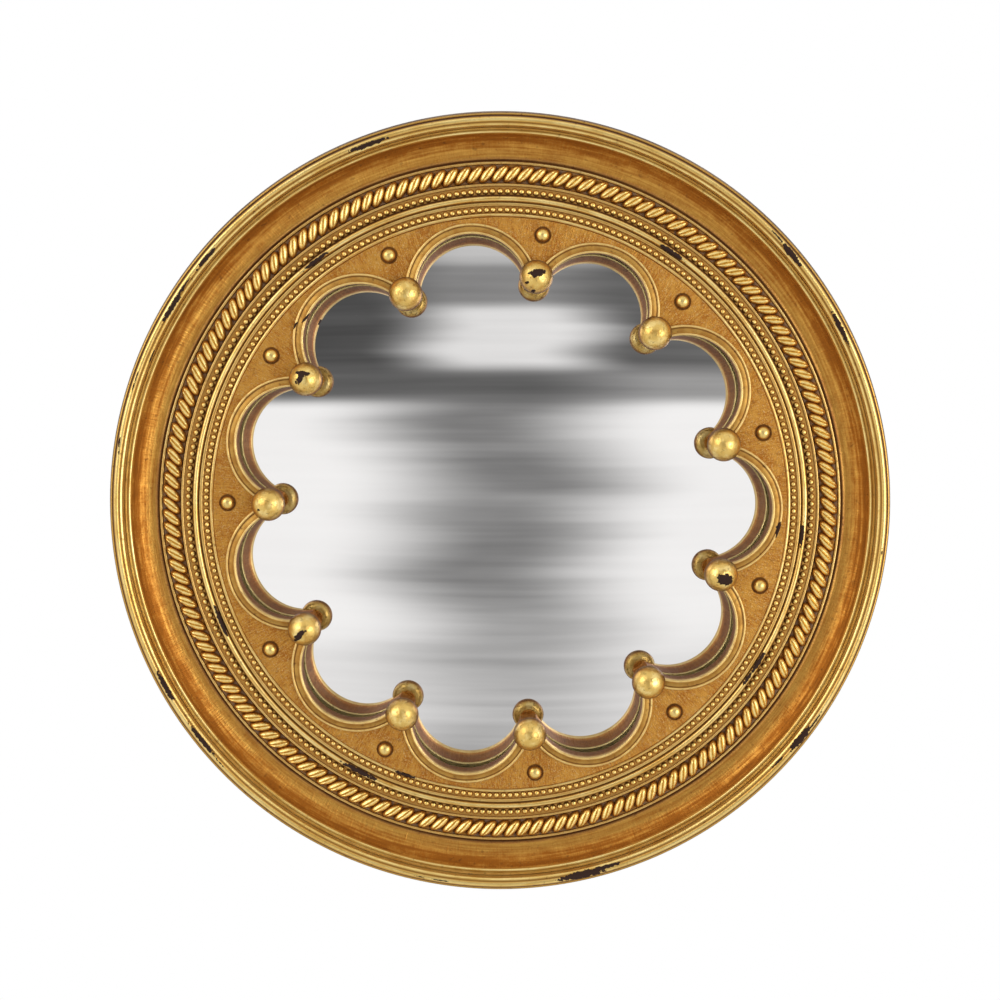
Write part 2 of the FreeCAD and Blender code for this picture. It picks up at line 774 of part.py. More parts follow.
def make_strap(name, side):
    """A folded strap: a flat leg with two screw holes and a curl round the ring's bar."""
    body = new_body(name)
    section = new_sketch(body, name + "_section", "YZ_Plane")
    curl = S["strap_curl_angle"]
    wrap = 1 - cosine((180 + curl) / 2)
    foot = -S["strap_length"]

    def curl_end(radius):
        return (radius * cosine(curl) - eye_middle, -(radius * sine(curl)))

    draw_outline(section, [
        (-back_face, foot),
        (-back_face, as_size(0)),
        (*curl_end(eye_outer), eye_outer * wrap),
        curl_end(eye_inner),
        (-(eye_middle + eye_inner), as_size(0), -(eye_inner * wrap)),
        (-(eye_middle + eye_inner), foot),
    ])
    leg = pad(body, section, S["strap_width"])
    leg.Midplane = True
    holes = new_sketch(body, name + "_holes", "XZ_Plane", eye_middle + eye_inner / 2)
    for rise in hanger_screw_rises:
        draw_circle(holes, as_size(0), rise - hanger_rise, S["hanger_screw_radius"])
    cut = pocket(body, holes, back_face)
    cut.Reversed = True
    move_to_hanger(body, side)
    return body


def make_d_ring(name, side):
    """A ring of round wire: a straight bar in the eye, two sides and a round far end."""
    body = new_body(name)
    path = new_sketch(body, name + "_path", "XZ_Plane", eye_middle)
    half_width = S["ring_half_width"]
    bend = S["ring_bend_radius"]
    bar = half_width - bend
    side_end = S["ring_side_length"]
    corner_rise = -cap_rise(bend, bend)
    draw_outline(path, [
        (as_size(0), as_size(0)),
        (bar, as_size(0)),
        (half_width, bend, corner_rise),
        (half_width, side_end),
        (-half_width, side_end, -half_width),
        (-half_width, bend),
        (-bar, as_size(0), corner_rise),
    ])
    wire_end = new_sketch(body, name + "_wire", "YZ_Plane")
    draw_circle(wire_end, -eye_middle, as_size(0), S["ring_wire_radius"])
    document.recompute()
    pipe = body.newObject("PartDesign::AdditivePipe", name + "_pipe")
    pipe.Profile = wire_end
    pipe.Spine = path
    move_to_hanger(body, side)
    return body


def make_hangers():
    screws = []
    for word, side in SIDES:
        make_strap(f"hanger_strap_{word}", side)
        make_d_ring(f"d_ring_{word}", side)
        for index, rise in enumerate(hanger_screw_rises, start=1):
            screws.append(screw(f"hanger_screw_{word}_{index}", side * S["hanger_offset"], rise,
                                eye_middle + eye_inner,
                                (S["hanger_head_radius"], S["hanger_head_height"]),
                                S["hanger_screw_radius"], S["hanger_screw_grip"]))
    group("hanger_screws", screws)


def make_wall_pads():
    pads = []
    for index, angle in enumerate(PAD_ANGLES, start=1):
        turn = as_size(angle)
        pads.append(disc(f"wall_pad_{index}", pad_ring * sine(turn), pad_ring * cosine(turn),
                         0, S["pad_radius"], S["pad_height"]))
    group("wall_pads", pads)


def check_document(names):
    """Stop if any object failed, or if a piece's shape is empty or not valid."""
    for item in document.Objects:
        if {"Invalid", "Error"} & set(item.State):
            raise RuntimeError(f"{item.Name} failed: {item.State}")
    for name in names:
        shape = document.getObject(name).Shape
        if shape.isNull() or not shape.isValid():
            raise RuntimeError(f"{name} has no valid shape")


make_frame_ring()
make_ornament_rings()
make_arcade_plate()
make_arch_mouldings()
make_spandrel_studs()
make_cusp_balls()
make_ball_dowels()
make_glass()
make_glass_seats()
make_backboard()
button_names = make_turn_buttons()
make_hangers()
make_wall_pads()

pieces = ["frame_ring", "rope_twist", "outer_pearl_string", "inner_pearl_string", "arcade_plate",
          "arch_mouldings", "spandrel_studs", "cusp_balls", "ball_dowels", "mirror_glass",
          "glass_spacer", "packing_ring", "backboard", *button_names, "turn_button_screws",
          "hanger_strap_left", "hanger_strap_right", "d_ring_left", "d_ring_right",
          "hanger_screws", "wall_pads"]

document.recompute()
check_document(pieces)
os.makedirs("parts", exist_ok=True)
for name in pieces:
    shape = document.getObject(name).Shape
    shape.exportStep(f"parts/{name}.step")
    print(f"{name}: {len(shape.Solids)} solid(s), {shape.Volume / 1000:.2f} cm3")
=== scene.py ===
# %% [markdown]
# # A convex butlers mirror in an antiqued gold frame
#
# This lesson dresses a round wall mirror. The real object is a turned and gilded ring about half
# a metre across, with a rope twist and two strings of pearls laid in its channels, a plate cut by
# eleven arches, a ball on each cusp, and a convex glass behind. The solids give the sizes and
# the places. Here each piece gets a fine surface worked out as whole numpy arrays, and a finish
# that is built from shader nodes: gold, worn edges, patina in the hollows and chips of lost paint.

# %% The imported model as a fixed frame
import math

import bpy
import numpy as np
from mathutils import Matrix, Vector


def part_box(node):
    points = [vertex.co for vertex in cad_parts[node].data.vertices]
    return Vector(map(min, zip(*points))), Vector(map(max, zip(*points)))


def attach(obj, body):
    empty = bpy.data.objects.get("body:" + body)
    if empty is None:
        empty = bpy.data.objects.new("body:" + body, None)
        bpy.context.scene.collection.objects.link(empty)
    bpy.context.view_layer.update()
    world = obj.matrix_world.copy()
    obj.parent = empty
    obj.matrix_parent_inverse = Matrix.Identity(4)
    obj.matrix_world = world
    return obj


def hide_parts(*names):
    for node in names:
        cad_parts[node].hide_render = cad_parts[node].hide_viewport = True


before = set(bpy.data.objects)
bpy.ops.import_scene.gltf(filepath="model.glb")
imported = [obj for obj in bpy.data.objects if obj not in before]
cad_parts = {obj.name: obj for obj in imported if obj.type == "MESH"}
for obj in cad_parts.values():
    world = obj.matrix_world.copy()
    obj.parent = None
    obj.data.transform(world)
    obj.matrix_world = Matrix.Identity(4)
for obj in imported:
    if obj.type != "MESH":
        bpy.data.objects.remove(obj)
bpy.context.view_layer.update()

# %% [markdown]
# Everything on this mirror is round about one axis, so places are told as a radius from that axis,
# a height above the wall and an angle clockwise from the top, as the viewer sees it. One function
# turns those three numbers, or three arrays of them, into points. The wall is at y = 0 and the
# front looks along -Y, so a height above the wall is a negative y.

# %% Places: radius, height above the wall and clockwise angle
MM = 0.001


def polar(radius, height, angle):
    """x is radius times the angle's sine, z is radius times its cosine, y is minus the height."""
    radius, height, angle = np.broadcast_arrays(radius, height, angle)
    return np.stack((radius * np.sin(angle), -height, radius * np.cos(angle)), axis=-1) * MM


def size_of(node):
    """The outer radius of a node about the axis and its lowest and highest height, in mm."""
    low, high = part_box(node)
    return max(high[0], high[2]) / MM, -high[1] / MM, -low[1] / MM


frame_radius, back_face, rim_crest = size_of("frame_ring")
print(f"frame radius {frame_radius:.1f} mm, {back_face:.1f} to {rim_crest:.1f} mm off the wall")

# %% [markdown]
# A surface here is a grid: one parameter runs round the mirror, the other across the piece. The
# grid's points come as one array, and the faces follow from counting: each face joins a point to
# its neighbours in both directions. Closing a grid means that its last row or column is joined to
# the first one. `foreach_set` hands the whole array to Blender at once, which is why no loop over
# vertices is needed.

# %% From a grid of points to a mesh
def grid_faces(rows, columns, close_rows, close_columns):
    """Face corners of a grid: point, next in its row, across, next row; the ends may be joined."""
    row = np.arange(rows if close_rows else rows - 1)[:, None]
    column = np.arange(columns if close_columns else columns - 1)[None, :]
    next_row, next_column = (row + 1) % rows, (column + 1) % columns
    corners = (row * columns + column, row * columns + next_column,
               next_row * columns + next_column, next_row * columns + column)
    return np.stack([np.broadcast_to(c, (row.size, column.size)) for c in corners],
                    axis=-1).reshape(-1, 4)


def enclosed_volume(points, faces):
    """The sum over faces of a corner's triple product: negative if the faces point inwards."""
    a, b, c, d = (points[faces[:, corner]] for corner in range(4))
    return float((a * (np.cross(b, c) + np.cross(c, d))).sum()) / 6


def make_piece(name, points, faces, attributes=None, crease=52):
    """A mesh object from arrays of points and four-cornered faces, with named values per point.

    Values with fewer dimensions than the points are the same along those that they lack.
    """
    mesh = bpy.data.meshes.new(name)
    shape, points = points.shape[:-1], np.asarray(points, dtype=np.float32).reshape(-1, 3)
    faces = np.asarray(faces, dtype=np.int32)
    if enclosed_volume(points, faces) < 0:
        faces = faces[:, ::-1]
    mesh.vertices.add(len(points))
    mesh.vertices.foreach_set("co", points.ravel())
    mesh.loops.add(faces.size)
    mesh.loops.foreach_set("vertex_index", faces.ravel())
    mesh.polygons.add(len(faces))
    mesh.polygons.foreach_set("loop_start", np.arange(0, faces.size, faces.shape[1]))
    mesh.update(calc_edges=True)
    mesh.validate()
    mesh.polygons.foreach_set("use_smooth", np.ones(len(mesh.polygons), dtype=bool))
    mesh.set_sharp_from_angle(angle=math.radians(crease))
    for key, values in (attributes or {}).items():
        layer = mesh.attributes.new(key, "FLOAT", "POINT")
        layer.data.foreach_set("value", np.broadcast_to(values, shape).astype(np.float32).ravel())
    piece = bpy.data.objects.new(name, mesh)
    bpy.context.scene.collection.objects.link(piece)
    print(f"{name}: {len(mesh.vertices)} points, {len(mesh.polygons)} faces")
    return piece


def stand_for(piece, body, slot, *nodes):
    """The piece rides on a body and stands for nodes of the frame, which it hides; slot is not
    used.
    """
    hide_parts(*nodes)
    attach(piece, body)

# %% [markdown]
# ## The turned ring
#
# The frame is turned on a lathe: its section is one outline carried round the axis. The outline
# below lists only the corners, each with its radius, its height above the wall, how far its edge
# is eased, and, for a bead or a hollow, how far the arc that leads to the corner stands off its
# chord. Real edges are never sharp: a soft edge catches a thin line of light.

# %% An outline with eased corners and arcs
def arc_points(start, end, rise, count):
    """Points on the circle through start and end whose middle stands off the chord by rise."""
    start, end = np.asarray(start, float), np.asarray(end, float)
    chord = end - start
    length = math.hypot(*chord)
    left = np.array((-chord[1], chord[0])) / length
    radius = (length ** 2 / 4 + rise ** 2) / (2 * rise)
    centre = (start + end) / 2 + left * (rise - radius)
    spread = math.asin(min(1.0, length / 2 / abs(radius)))
    spread = math.pi - spread if abs(rise) > length / 2 else spread
    turn = np.linspace(-1, 1, count + 2)[1:-1] * spread
    across = np.outer(np.sin(turn), chord / length * abs(radius))
    return centre + across + np.outer(np.cos(turn), left * abs(radius) * math.copysign(1, rise))


def eased_corner(before, corner, after, reach):
    """A quadratic curve between the corner's sides, with two points further out on each side.

    The curve leaves a side at the reach from the corner, at most 0.3 of the side's length. The
    points further out keep the flat faces flat and the wear near the edge: without them the
    shading and the values on the points would fade all across the face.
    """
    sides = [np.asarray(point, float) - corner for point in (before, after)]
    lengths = [math.hypot(*side) for side in sides]
    ends = [corner + side / length * min(reach, 0.3 * length)
            for side, length in zip(sides, lengths)]
    near = [corner + 1.5 * (end - corner) for end in ends]
    far = [corner + side / length * min(1.1, 0.48 * length)
           for side, length in zip(sides, lengths)]
    t = np.linspace(0, 1, 3)[:, None]
    curve = (1 - t) ** 2 * ends[0] + 2 * t * (1 - t) * corner + t ** 2 * ends[1]
    return np.concatenate(((far[0], near[0]), curve, (near[1], far[1])))


def outline(corners, arc_count=12):
    """The closed outline of corners (radius, height, easing, rise of the arc leading there)."""
    stretches = []
    for index, (radius, height, easing, rise) in enumerate(corners):
        before = corners[index - 1][:2]
        after = corners[(index + 1) % len(corners)][:2]
        corner = np.array((radius, height))
        if rise:
            stretches.append(arc_points(before, corner, rise, arc_count))
        if easing:
            stretches.append(eased_corner(before, corner, after, easing))
        else:
            stretches.append(corner[None, :])
    return np.concatenate(stretches)


def bend_of(section, reach=0.55):
    """How sharply a closed section bends at each point: its turn, summed over a reach in mm."""
    step = np.roll(section, -1, axis=0) - section
    length = np.hypot(*step.T)
    heading = np.arctan2(step[:, 1], step[:, 0])
    turn = (heading - np.roll(heading, 1) + np.pi) % (2 * np.pi) - np.pi
    along = np.concatenate(([0], np.cumsum(length)[:-1]))
    gap = np.abs(along[:, None] - along[None, :])
    gap = np.minimum(gap, length.sum() - gap)
    return (np.exp(-(gap / reach) ** 2) * turn[None, :]).sum(axis=1)


# %% [markdown]
# The bend of the section is kept as a value on every point. A hollow corner bends one way, and
# there the dark glaze of an antiqued finish gathers; a raised edge bends the other way, and there
# the gold is rubbed bright. The material reads this value later.
#
# Chips of lost paint lie at known places on the rim and on the beads. Each is told as a stretch of
# angle, a radius and a half width. One more value on every point says how far it is from the
# nearest chip, where 1 is the chip's border; the material roughens that border with noise.

# %% Chips on the frame: from angle, to angle, radius and half width
FAR = 9.0  # the value of a point that no chip is near
RIM_CHIPS = (
    (44.1, 46.7, 244.0, 0.4), (46.9, 50.9, 242.9, 1.7), (59.7, 64.1, 242.7, 1.4),
    (63.7, 65.3, 242.7, 0.4), (96.1, 97.2, 244.3, 0.6), (122.8, 125.8, 243.9, 0.5),
    (125.4, 129.6, 243.0, 2.0), (129.4, 130.4, 243.3, 0.5), (131.5, 133.5, 241.9, 0.7),
    (161.6, 165.2, 242.0, 1.1), (164.4, 170.7, 243.2, 2.2), (187.7, 190.7, 244.0, 0.35),
    (191.0, 193.4, 244.0, 0.3), (226.7, 227.9, 243.4, 0.5), (229.2, 234.6, 242.7, 1.2),
    (239.4, 244.0, 242.8, 1.4), (277.6, 278.6, 243.8, 0.5), (279.1, 280.7, 244.5, 0.6),
    (287.4, 288.2, 243.8, 0.45), (288.9, 290.9, 244.0, 0.35), (292.7, 294.4, 239.8, 0.4),
    (293.8, 294.6, 243.9, 0.4), (299.2, 304.0, 242.3, 1.4), (303.8, 306.6, 242.9, 0.6),
    (308.5, 312.3, 242.5, 1.2), (337.2, 342.8, 242.4, 1.3), (345.0, 345.5, 243.2, 0.4))
BEAD_CHIPS = (
    (29.2, 29.9, 194.5, 0.5), (31.6, 36.8, 194.5, 1.3), (93.8, 97.6, 194.3, 1.2),
    (119.3, 123.6, 194.6, 1.2), (123.9, 126.4, 194.6, 1.1), (204.3, 211.7, 194.8, 1.4),
    (244.6, 250.1, 194.3, 1.2), (320.7, 325.6, 194.7, 1.3), (197.2, 201.6, 184.8, 1.0))


def chip_distance(radius, angle, chips):
    """The least distance to a chip: its ends and its sides are both at 1, as on an ellipse."""
    degrees = np.degrees(angle) % 360
    nearest = np.full(np.broadcast(radius, angle).shape, FAR)
    for first, last, chip_radius, half_width in chips:
        middle, half_turn = (first + last) / 2, (last - first) / 2
        along = ((degrees - middle + 180) % 360 - 180) / half_turn
        nearest = np.minimum(nearest, np.hypot(along, (radius - chip_radius) / half_width))
    return nearest


# %% The frame ring
BOARD_RECESS, REBATE, SIGHT = 197.5, 190.5, 183.5
BOARD_FRONT, LIP_UNDERSIDE, LIP_SHOULDER = 10.0, 32.5, 36.2
LIP_OUTER, CHANNEL_OUTER, INNER_FLOOR = 185.9, 190.4, 34.5
BEAD_INNER, BEAD_OUTER, BEAD_FOOT = 193.3, 196.8, 34.7
FILLET_INNER, OUTER_FLOOR, FILLET_TOP = 203.1, 31.5, 32.5
ROPE_INNER, ROPE_OUTER, ROPE_FLOOR = 205.0, 216.8, 30.0
COVE_INNER, COVE_OUTER, COVE_BOTTOM, COVE_TOP = 219.2, 235.9, 29.4, 37.7
RIM_INNER, RIM_VALLEY, RIM_OUTER, RIM_FOOT = 239.4, 241.9, 245.5, 44.4

ring_outline = outline([
    (BOARD_RECESS, back_face, 0.4, 0),
    (BOARD_RECESS, BOARD_FRONT, 0, 0),
    (REBATE, BOARD_FRONT, 0.3, 0),
    (REBATE, LIP_UNDERSIDE, 0, 0),
    (SIGHT, LIP_UNDERSIDE, 0.2, 0),
    (SIGHT, LIP_SHOULDER, 0, 0),
    (LIP_OUTER, LIP_SHOULDER, 0, 0.8),
    (LIP_OUTER, INNER_FLOOR, 0.3, 0),
    (CHANNEL_OUTER, INNER_FLOOR, 0.3, 0),
    (190.7, 35.5, 0.4, 0),
    (192.5, 35.5, 0.4, 0),
    (192.9, BEAD_FOOT, 0, 0),
    (BEAD_INNER, BEAD_FOOT, 0, 0),
    (BEAD_OUTER, BEAD_FOOT, 0, 2.2),
    (BEAD_OUTER, OUTER_FLOOR, 0.3, 0),
    (FILLET_INNER, OUTER_FLOOR, 0.3, 0),
    (FILLET_INNER + 0.2, FILLET_TOP, 0.5, 0),
    (204.8, FILLET_TOP, 0.6, 0),
    (ROPE_INNER, ROPE_FLOOR, 0.2, 0),
    (ROPE_OUTER, ROPE_FLOOR, 0.2, 0),
    (ROPE_OUTER + 0.2, 31.2, 0.4, 0),
    (218.6, 31.2, 0.7, 0),
    (218.8, COVE_BOTTOM, 0.2, 0),
    (COVE_INNER, COVE_BOTTOM, 0.1, 0),
    (COVE_OUTER, COVE_TOP, 0, -2.2),
    (237.9, 38.3, 0, 0.5),
    (238.8, 41.8, 0.4, 0),
    (239.2, 41.2, 0, 0),
    (RIM_INNER, RIM_FOOT, 0, 0),
    (RIM_VALLEY, 46.9, 0, 0.8),
    (RIM_OUTER, RIM_FOOT, 0, 2.2),
    (245.9, 42.4, 0.3, 0),
    (248.2, 42.4, 1.0, 0),
    (frame_radius, 34.0, 1.6, 0),
    (frame_radius, 30.0, 1.6, 0),
    (243.5, 9.0, 0.8, -3.0),
    (243.5, back_face, 0.5, 0),
])
CHANNELS = ((LIP_OUTER, CHANNEL_OUTER, 0.2), (BEAD_OUTER, FILLET_INNER, 0.25),
            (ROPE_INNER, ROPE_OUTER, 0.5), (COVE_INNER - 0.4, 222.0, 0.4))
section_radius, section_height = ring_outline.T
SOIL_LOW, SOIL_HIGH, CHIPS_ABOVE, SEGMENTS = 29.0, 35.0, 33.0, 300
ring_soil = sum(dirt * ((section_radius > inner - 0.1) & (section_radius < outer + 0.1)
                        & (section_height < SOIL_HIGH) & (section_height > SOIL_LOW))
                for inner, outer, dirt in CHANNELS)
turn = np.linspace(0, 2 * np.pi, SEGMENTS, endpoint=False)[:, None]
ring_points = polar(section_radius, section_height, turn)
front_only = np.where(section_height > CHIPS_ABOVE, 0.0, FAR)
ring_chips = chip_distance(section_radius, turn, RIM_CHIPS + BEAD_CHIPS) + front_only
frame_face = make_piece("gilded_ring", ring_points,
                        grid_faces(*ring_points.shape[:2], True, True),
                        {"bend": bend_of(ring_outline), "chip": ring_chips, "soil": ring_soil})
stand_for(frame_face, "frame", "gilt_frame", "frame_ring")

# %% [markdown]
# ## The rope twist
#
# The carved rope shows as a row of leaning lobes that fill the channel. Counted on the photograph,
# 168 of them go round, and they lean clockwise towards the rim. Two numbers place a point on a
# lobe: d, the distance along the ring from the lobe's middle line, counted in lobes, and u, the
# distance across the channel from -1 to 1. A lobe is a dome over the rounded shape
#
#     (|d| / (0.54 - 0.19 u^2))^2.2 + |u / 0.96|^4.5 < 1
#
# and its height is the square root of what is left to 1. The lobes touch in the middle of the
# channel and leave three-cornered gaps at its sides. A groove on the middle line parts each lobe
# into two ridges and runs out before the lobe's ends. The grid itself leans with the lobes, so
# that its rows follow their edges. The value "crest" tells how high a point lies, and is lower
# towards the ends, where the gold is less worn and the finish paints more shade.

# %% The rope: 168 leaning lobes
LOBES, LEAN = 168, 0.5
ROPE_HALF_WIDTH, ROPE_RISE, GROOVE = 5.75, 4.6, 0.28
rope_middle = (ROPE_INNER + ROPE_OUTER) / 2

half_lobe = np.array((0.06, 0.14, 0.24, 0.34, 0.41, 0.46))
lobe_d = np.concatenate(((-0.5,), -half_lobe[::-1], (0,), half_lobe))[:, None]
half_across = np.array((0.2, 0.42, 0.62, 0.78, 0.88, 0.95, 1.0))
lobe_u = np.concatenate((-half_across[::-1], (0,), half_across))
lobe_width = 0.54 - 0.19 * lobe_u ** 2
lobe_fill = (np.abs(lobe_d) / lobe_width) ** 2.2 + np.abs(lobe_u / 0.96) ** 4.5
ridged = 1 - GROOVE * np.exp(-(lobe_d / 0.07) ** 2 - (lobe_u / 0.85) ** 4)
lobe_dome = np.sqrt(np.maximum(0, 1 - lobe_fill)) * ridged
rope_dome = np.tile(lobe_dome, (LOBES, 1))
lobe_number = (np.arange(LOBES)[:, None, None] + lobe_d).reshape(-1, 1) + LEAN * lobe_u
rope_height = ROPE_FLOOR + np.where(np.abs(lobe_u) < 1, 0.5, -0.3) + ROPE_RISE * rope_dome
rope_points = polar(rope_middle + ROPE_HALF_WIDTH * lobe_u, rope_height,
                    lobe_number / LOBES * 2 * np.pi)
rope = make_piece("rope_twist_carving", rope_points,
                  grid_faces(*rope_points.shape[:2], True, True),
                  {"crest": rope_dome * (1 - 0.35 * lobe_u ** 2)})
stand_for(rope, "frame", "gilt_carving", "rope_twist")

# %% [markdown]
# ## Small turned things on a ring
#
# Pearls, balls and studs are all turned shapes that stand on a ring. One profile is spun about its
# own axis, and an axis is set at each angle of the ring. Adding one more dimension to the arrays
# repeats the shape without a loop. The first and last ring of each shape are small, and faces
# across them close it.

# %% A profile spun about axes that stand on a ring
def capped_faces(count, rows, columns):
    """Faces of count grids that are closed round, with faces across their first and last row."""
    first = np.arange(columns // 2 - 1)
    cap = np.stack((first, first + 1, columns - 2 - first, columns - 1 - first), axis=-1)
    one = np.concatenate((grid_faces(rows, columns, False, True), cap[:, ::-1],
                          cap + (rows - 1) * columns))
    return (one[None] + np.arange(count)[:, None, None] * rows * columns).reshape(-1, 4)


def spun(profile, sides, ring_radius, ring_angles, size=1.0, lift=0.0):
    """Points (shape, row, side) of a profile of (radius, height) turned about each of the axes.

    A point's place on the shape's own circle is split into a part along the ring's radius and a
    part across it; their length is the radius about the mirror's axis and their slope the angle.
    """
    around = np.linspace(0, 2 * np.pi, sides, endpoint=False)
    size = np.broadcast_to(size, (len(ring_angles),))[:, None, None]
    reach = size * profile[None, :, 0, None]
    out, across = ring_radius + reach * np.cos(around), reach * np.sin(around)
    angle = np.asarray(ring_angles)[:, None, None] + np.arctan2(across, out)
    return polar(np.hypot(out, across), lift + size * profile[None, :, 1, None], angle)


def dome(radius, rise, first, last, count):
    """The profile of a dome: radius times the sine and rise times the cosine of the latitude."""
    latitude = np.radians(np.linspace(first, last, count))
    return np.stack((radius * np.sin(latitude), rise * np.cos(latitude)), axis=-1)


# %% [markdown]
# Two strings of small pearls stand in the other two channels, 273 in each, counted on the
# photograph. A pearl is a half ball whose foot goes a little under the channel's floor. A slight
# seeded unevenness in size and spacing keeps the strings from looking machine made.

# %% Pearl strings
PEARLS, PEARL_SIDES, PEARL_RISE, PEARL_FOOT = 273, 12, 0.85, 0.15
random = np.random.default_rng(11)


def pearl_string(name, ring_radius, floor, pearl_radius, node):
    """Half balls on feet, evenly spaced but for a small random part."""
    profile = np.concatenate((dome(pearl_radius, pearl_radius * PEARL_RISE, 8, 88, 4),
                              ((PEARL_FOOT, -PEARL_FOOT),)))
    angles = np.arange(PEARLS) * 2 * np.pi / PEARLS + random.normal(0, 0.0006, PEARLS)
    points = spun(profile, PEARL_SIDES, ring_radius, angles,
                  1 + random.normal(0, 0.02, PEARLS), floor)
    piece = make_piece(name, points, capped_faces(*points.shape[:3]),
                       {"crest": profile[:, 1, None] / pearl_radius})
    stand_for(piece, "frame", "gilt_carving", node)
    return piece


outer_pearls = pearl_string("outer_pearls", 199.9, OUTER_FLOOR, 2.1, "outer_pearl_string")
inner_pearls = pearl_string("inner_pearls", 188.1, INNER_FLOOR, 1.95, "inner_pearl_string")

# %% [markdown]
# ## The arcade plate
#
# A plate behind the lip is cut by eleven round arches that meet in cusps. Its inner edge in polar
# terms: seen from the mirror's axis at an angle off an arch's middle, the arch's circle lies at
# ring * cos(angle) + sqrt(radius^2 - ring^2 * sin(angle)^2). That formula puts few points where
# the circle runs along the line of sight, so the edge is sampled evenly on the circle itself. Each
# cusp is cut off at one radius. A row of the grid then runs from the back edge up the arch's wall,
# out over the front, and back underneath.

# %% The plate's scalloped edge and its grid
ARCHES, FIRST_BALL = 11, math.radians(8.9)
PITCH = 2 * math.pi / ARCHES
ball_angles = FIRST_BALL + np.arange(ARCHES) * PITCH
arch_angles = ball_angles + PITCH / 2
ARCH_RING, ARCH_RADIUS, CUSP_RADIUS = 138.29, 35.71, 144.0
BALL_RING, STUD_RING, BALL_BACK, SEAT_RADIUS, SEAT_DEPTH = 147.39, 174.1, 39.5, 5.4, 0.5
FIELD, PLATE_BACK, PLATE_OUTER, FLANGE_OUTER, BACK_EASE = 38.0, 23.0, 183.3, 189.7, 0.7

meeting = math.acos((CUSP_RADIUS ** 2 - ARCH_RING ** 2 - ARCH_RADIUS ** 2)
                    / (2 * ARCH_RING * ARCH_RADIUS))
on_circle = np.linspace(-meeting, meeting, 65)
edge_out = ARCH_RING + ARCH_RADIUS * np.cos(on_circle)
edge_across = ARCH_RADIUS * np.sin(on_circle)
edge_radius, edge_angle = np.hypot(edge_out, edge_across), np.arctan2(edge_across, edge_out)
cusp_angle = np.linspace(edge_angle[-1], PITCH - edge_angle[-1], 7)[1:-1]
edge_radius = np.concatenate((edge_radius, np.full(cusp_angle.size, CUSP_RADIUS)))
edge_angle = np.concatenate((edge_angle, cusp_angle))
inner_edge = np.tile(edge_radius, ARCHES)[:, None]
edge_turn = (arch_angles[:, None] + edge_angle[None, :]).reshape(-1, 1)

wall = np.array((PLATE_BACK, PLATE_BACK + BACK_EASE, 28.0, 33.0, FIELD))[None, :]
across_front = np.linspace(0, 1, 9)[None, 1:]
under = np.array(((PLATE_OUTER, LIP_UNDERSIDE), (FLANGE_OUTER, LIP_UNDERSIDE),
                  (FLANGE_OUTER, PLATE_BACK)))
across_back = np.linspace(0, 1, 4)[None, 1:-1]
plate_radius = np.concatenate((
    inner_edge + np.where(wall == PLATE_BACK, BACK_EASE, 0.0),
    inner_edge + (PLATE_OUTER - inner_edge) * across_front,
    np.broadcast_to(under[:, 0], (inner_edge.size, 3)),
    FLANGE_OUTER + (inner_edge - FLANGE_OUTER) * across_back), axis=1)
plate_height = np.concatenate((wall[0], np.full(across_front.size, FIELD), under[:, 1],
                               np.full(across_back.size, PLATE_BACK)))
plate_points = polar(plate_radius, plate_height[None, :], edge_turn)
wall_value = np.zeros(plate_height.size)
wall_value[1:wall.size - 1] = 1.0

seat = np.array(((0.5, BALL_BACK), (SEAT_RADIUS, BALL_BACK),
                 (SEAT_RADIUS, FIELD - SEAT_DEPTH), (0.5, FIELD - SEAT_DEPTH)))
seat_points = spun(seat, 32, BALL_RING, ball_angles)
plate = make_piece(
    "arcade_plate_face",
    np.concatenate((plate_points.reshape(-1, 3), seat_points.reshape(-1, 3))),
    np.concatenate((grid_faces(*plate_points.shape[:2], True, True),
                    capped_faces(*seat_points.shape[:3]) + plate_radius.size)),
    {"wall": np.append(np.tile(wall_value, inner_edge.size), np.zeros(seat_points.size // 3))},
    crease=30)
stand_for(plate, "frame", "gilt_plate", "arcade_plate")

# %% [markdown]
# ## The mouldings round the arches
#
# Each arch is edged by a moulding: a bead along the opening, a shallow hollow, and a small bead
# outside. Its section is an outline again, carried round the arch's own circle. A point's place
# is the arch's middle plus the section's radius along the turned direction. The ends stop just
# inside the outline of the balls, which cover them.

# %% Arch mouldings
MOULDING_WIDTH, BEAD_WIDTH, BEAD_TOP, EDGE_WIDTH, EDGE_TOP = 6.6, 1.4, 42.0, 1.7, 40.0
moulding_outline = outline([
    (ARCH_RADIUS, FIELD - 0.2, 0, 0),
    (ARCH_RADIUS, BEAD_TOP, 0, 0),
    (ARCH_RADIUS + BEAD_WIDTH, BEAD_TOP - 0.2, 0, 0.55),
    (ARCH_RADIUS + MOULDING_WIDTH - EDGE_WIDTH, EDGE_TOP, 0, -0.35),
    (ARCH_RADIUS + MOULDING_WIDTH, EDGE_TOP - 0.3, 0, 0.75),
    (ARCH_RADIUS + MOULDING_WIDTH, FIELD - 0.2, 0, 0),
], arc_count=8)
END_ANGLE = math.radians(74.5)
along = np.linspace(-END_ANGLE, END_ANGLE, 97)[:, None]
section_radius, section_height = moulding_outline.T
out, across = ARCH_RING + section_radius * np.cos(along), section_radius * np.sin(along)
moulding_radius = np.hypot(out, across)
moulding_turn = arch_angles[:, None, None] + np.arctan2(across, out)
moulding_points = polar(moulding_radius, section_height, moulding_turn)
MOULDING_CHIPS = ((93.4, 96.8, 178.5, 1.6), (310.0, 312.4, 173.5, 0.9), (313.0, 315.9, 171.5, 0.8))
HOLLOW_REACH = 1.4
hollow_middle = ARCH_RADIUS + (BEAD_WIDTH + MOULDING_WIDTH - EDGE_WIDTH) / 2
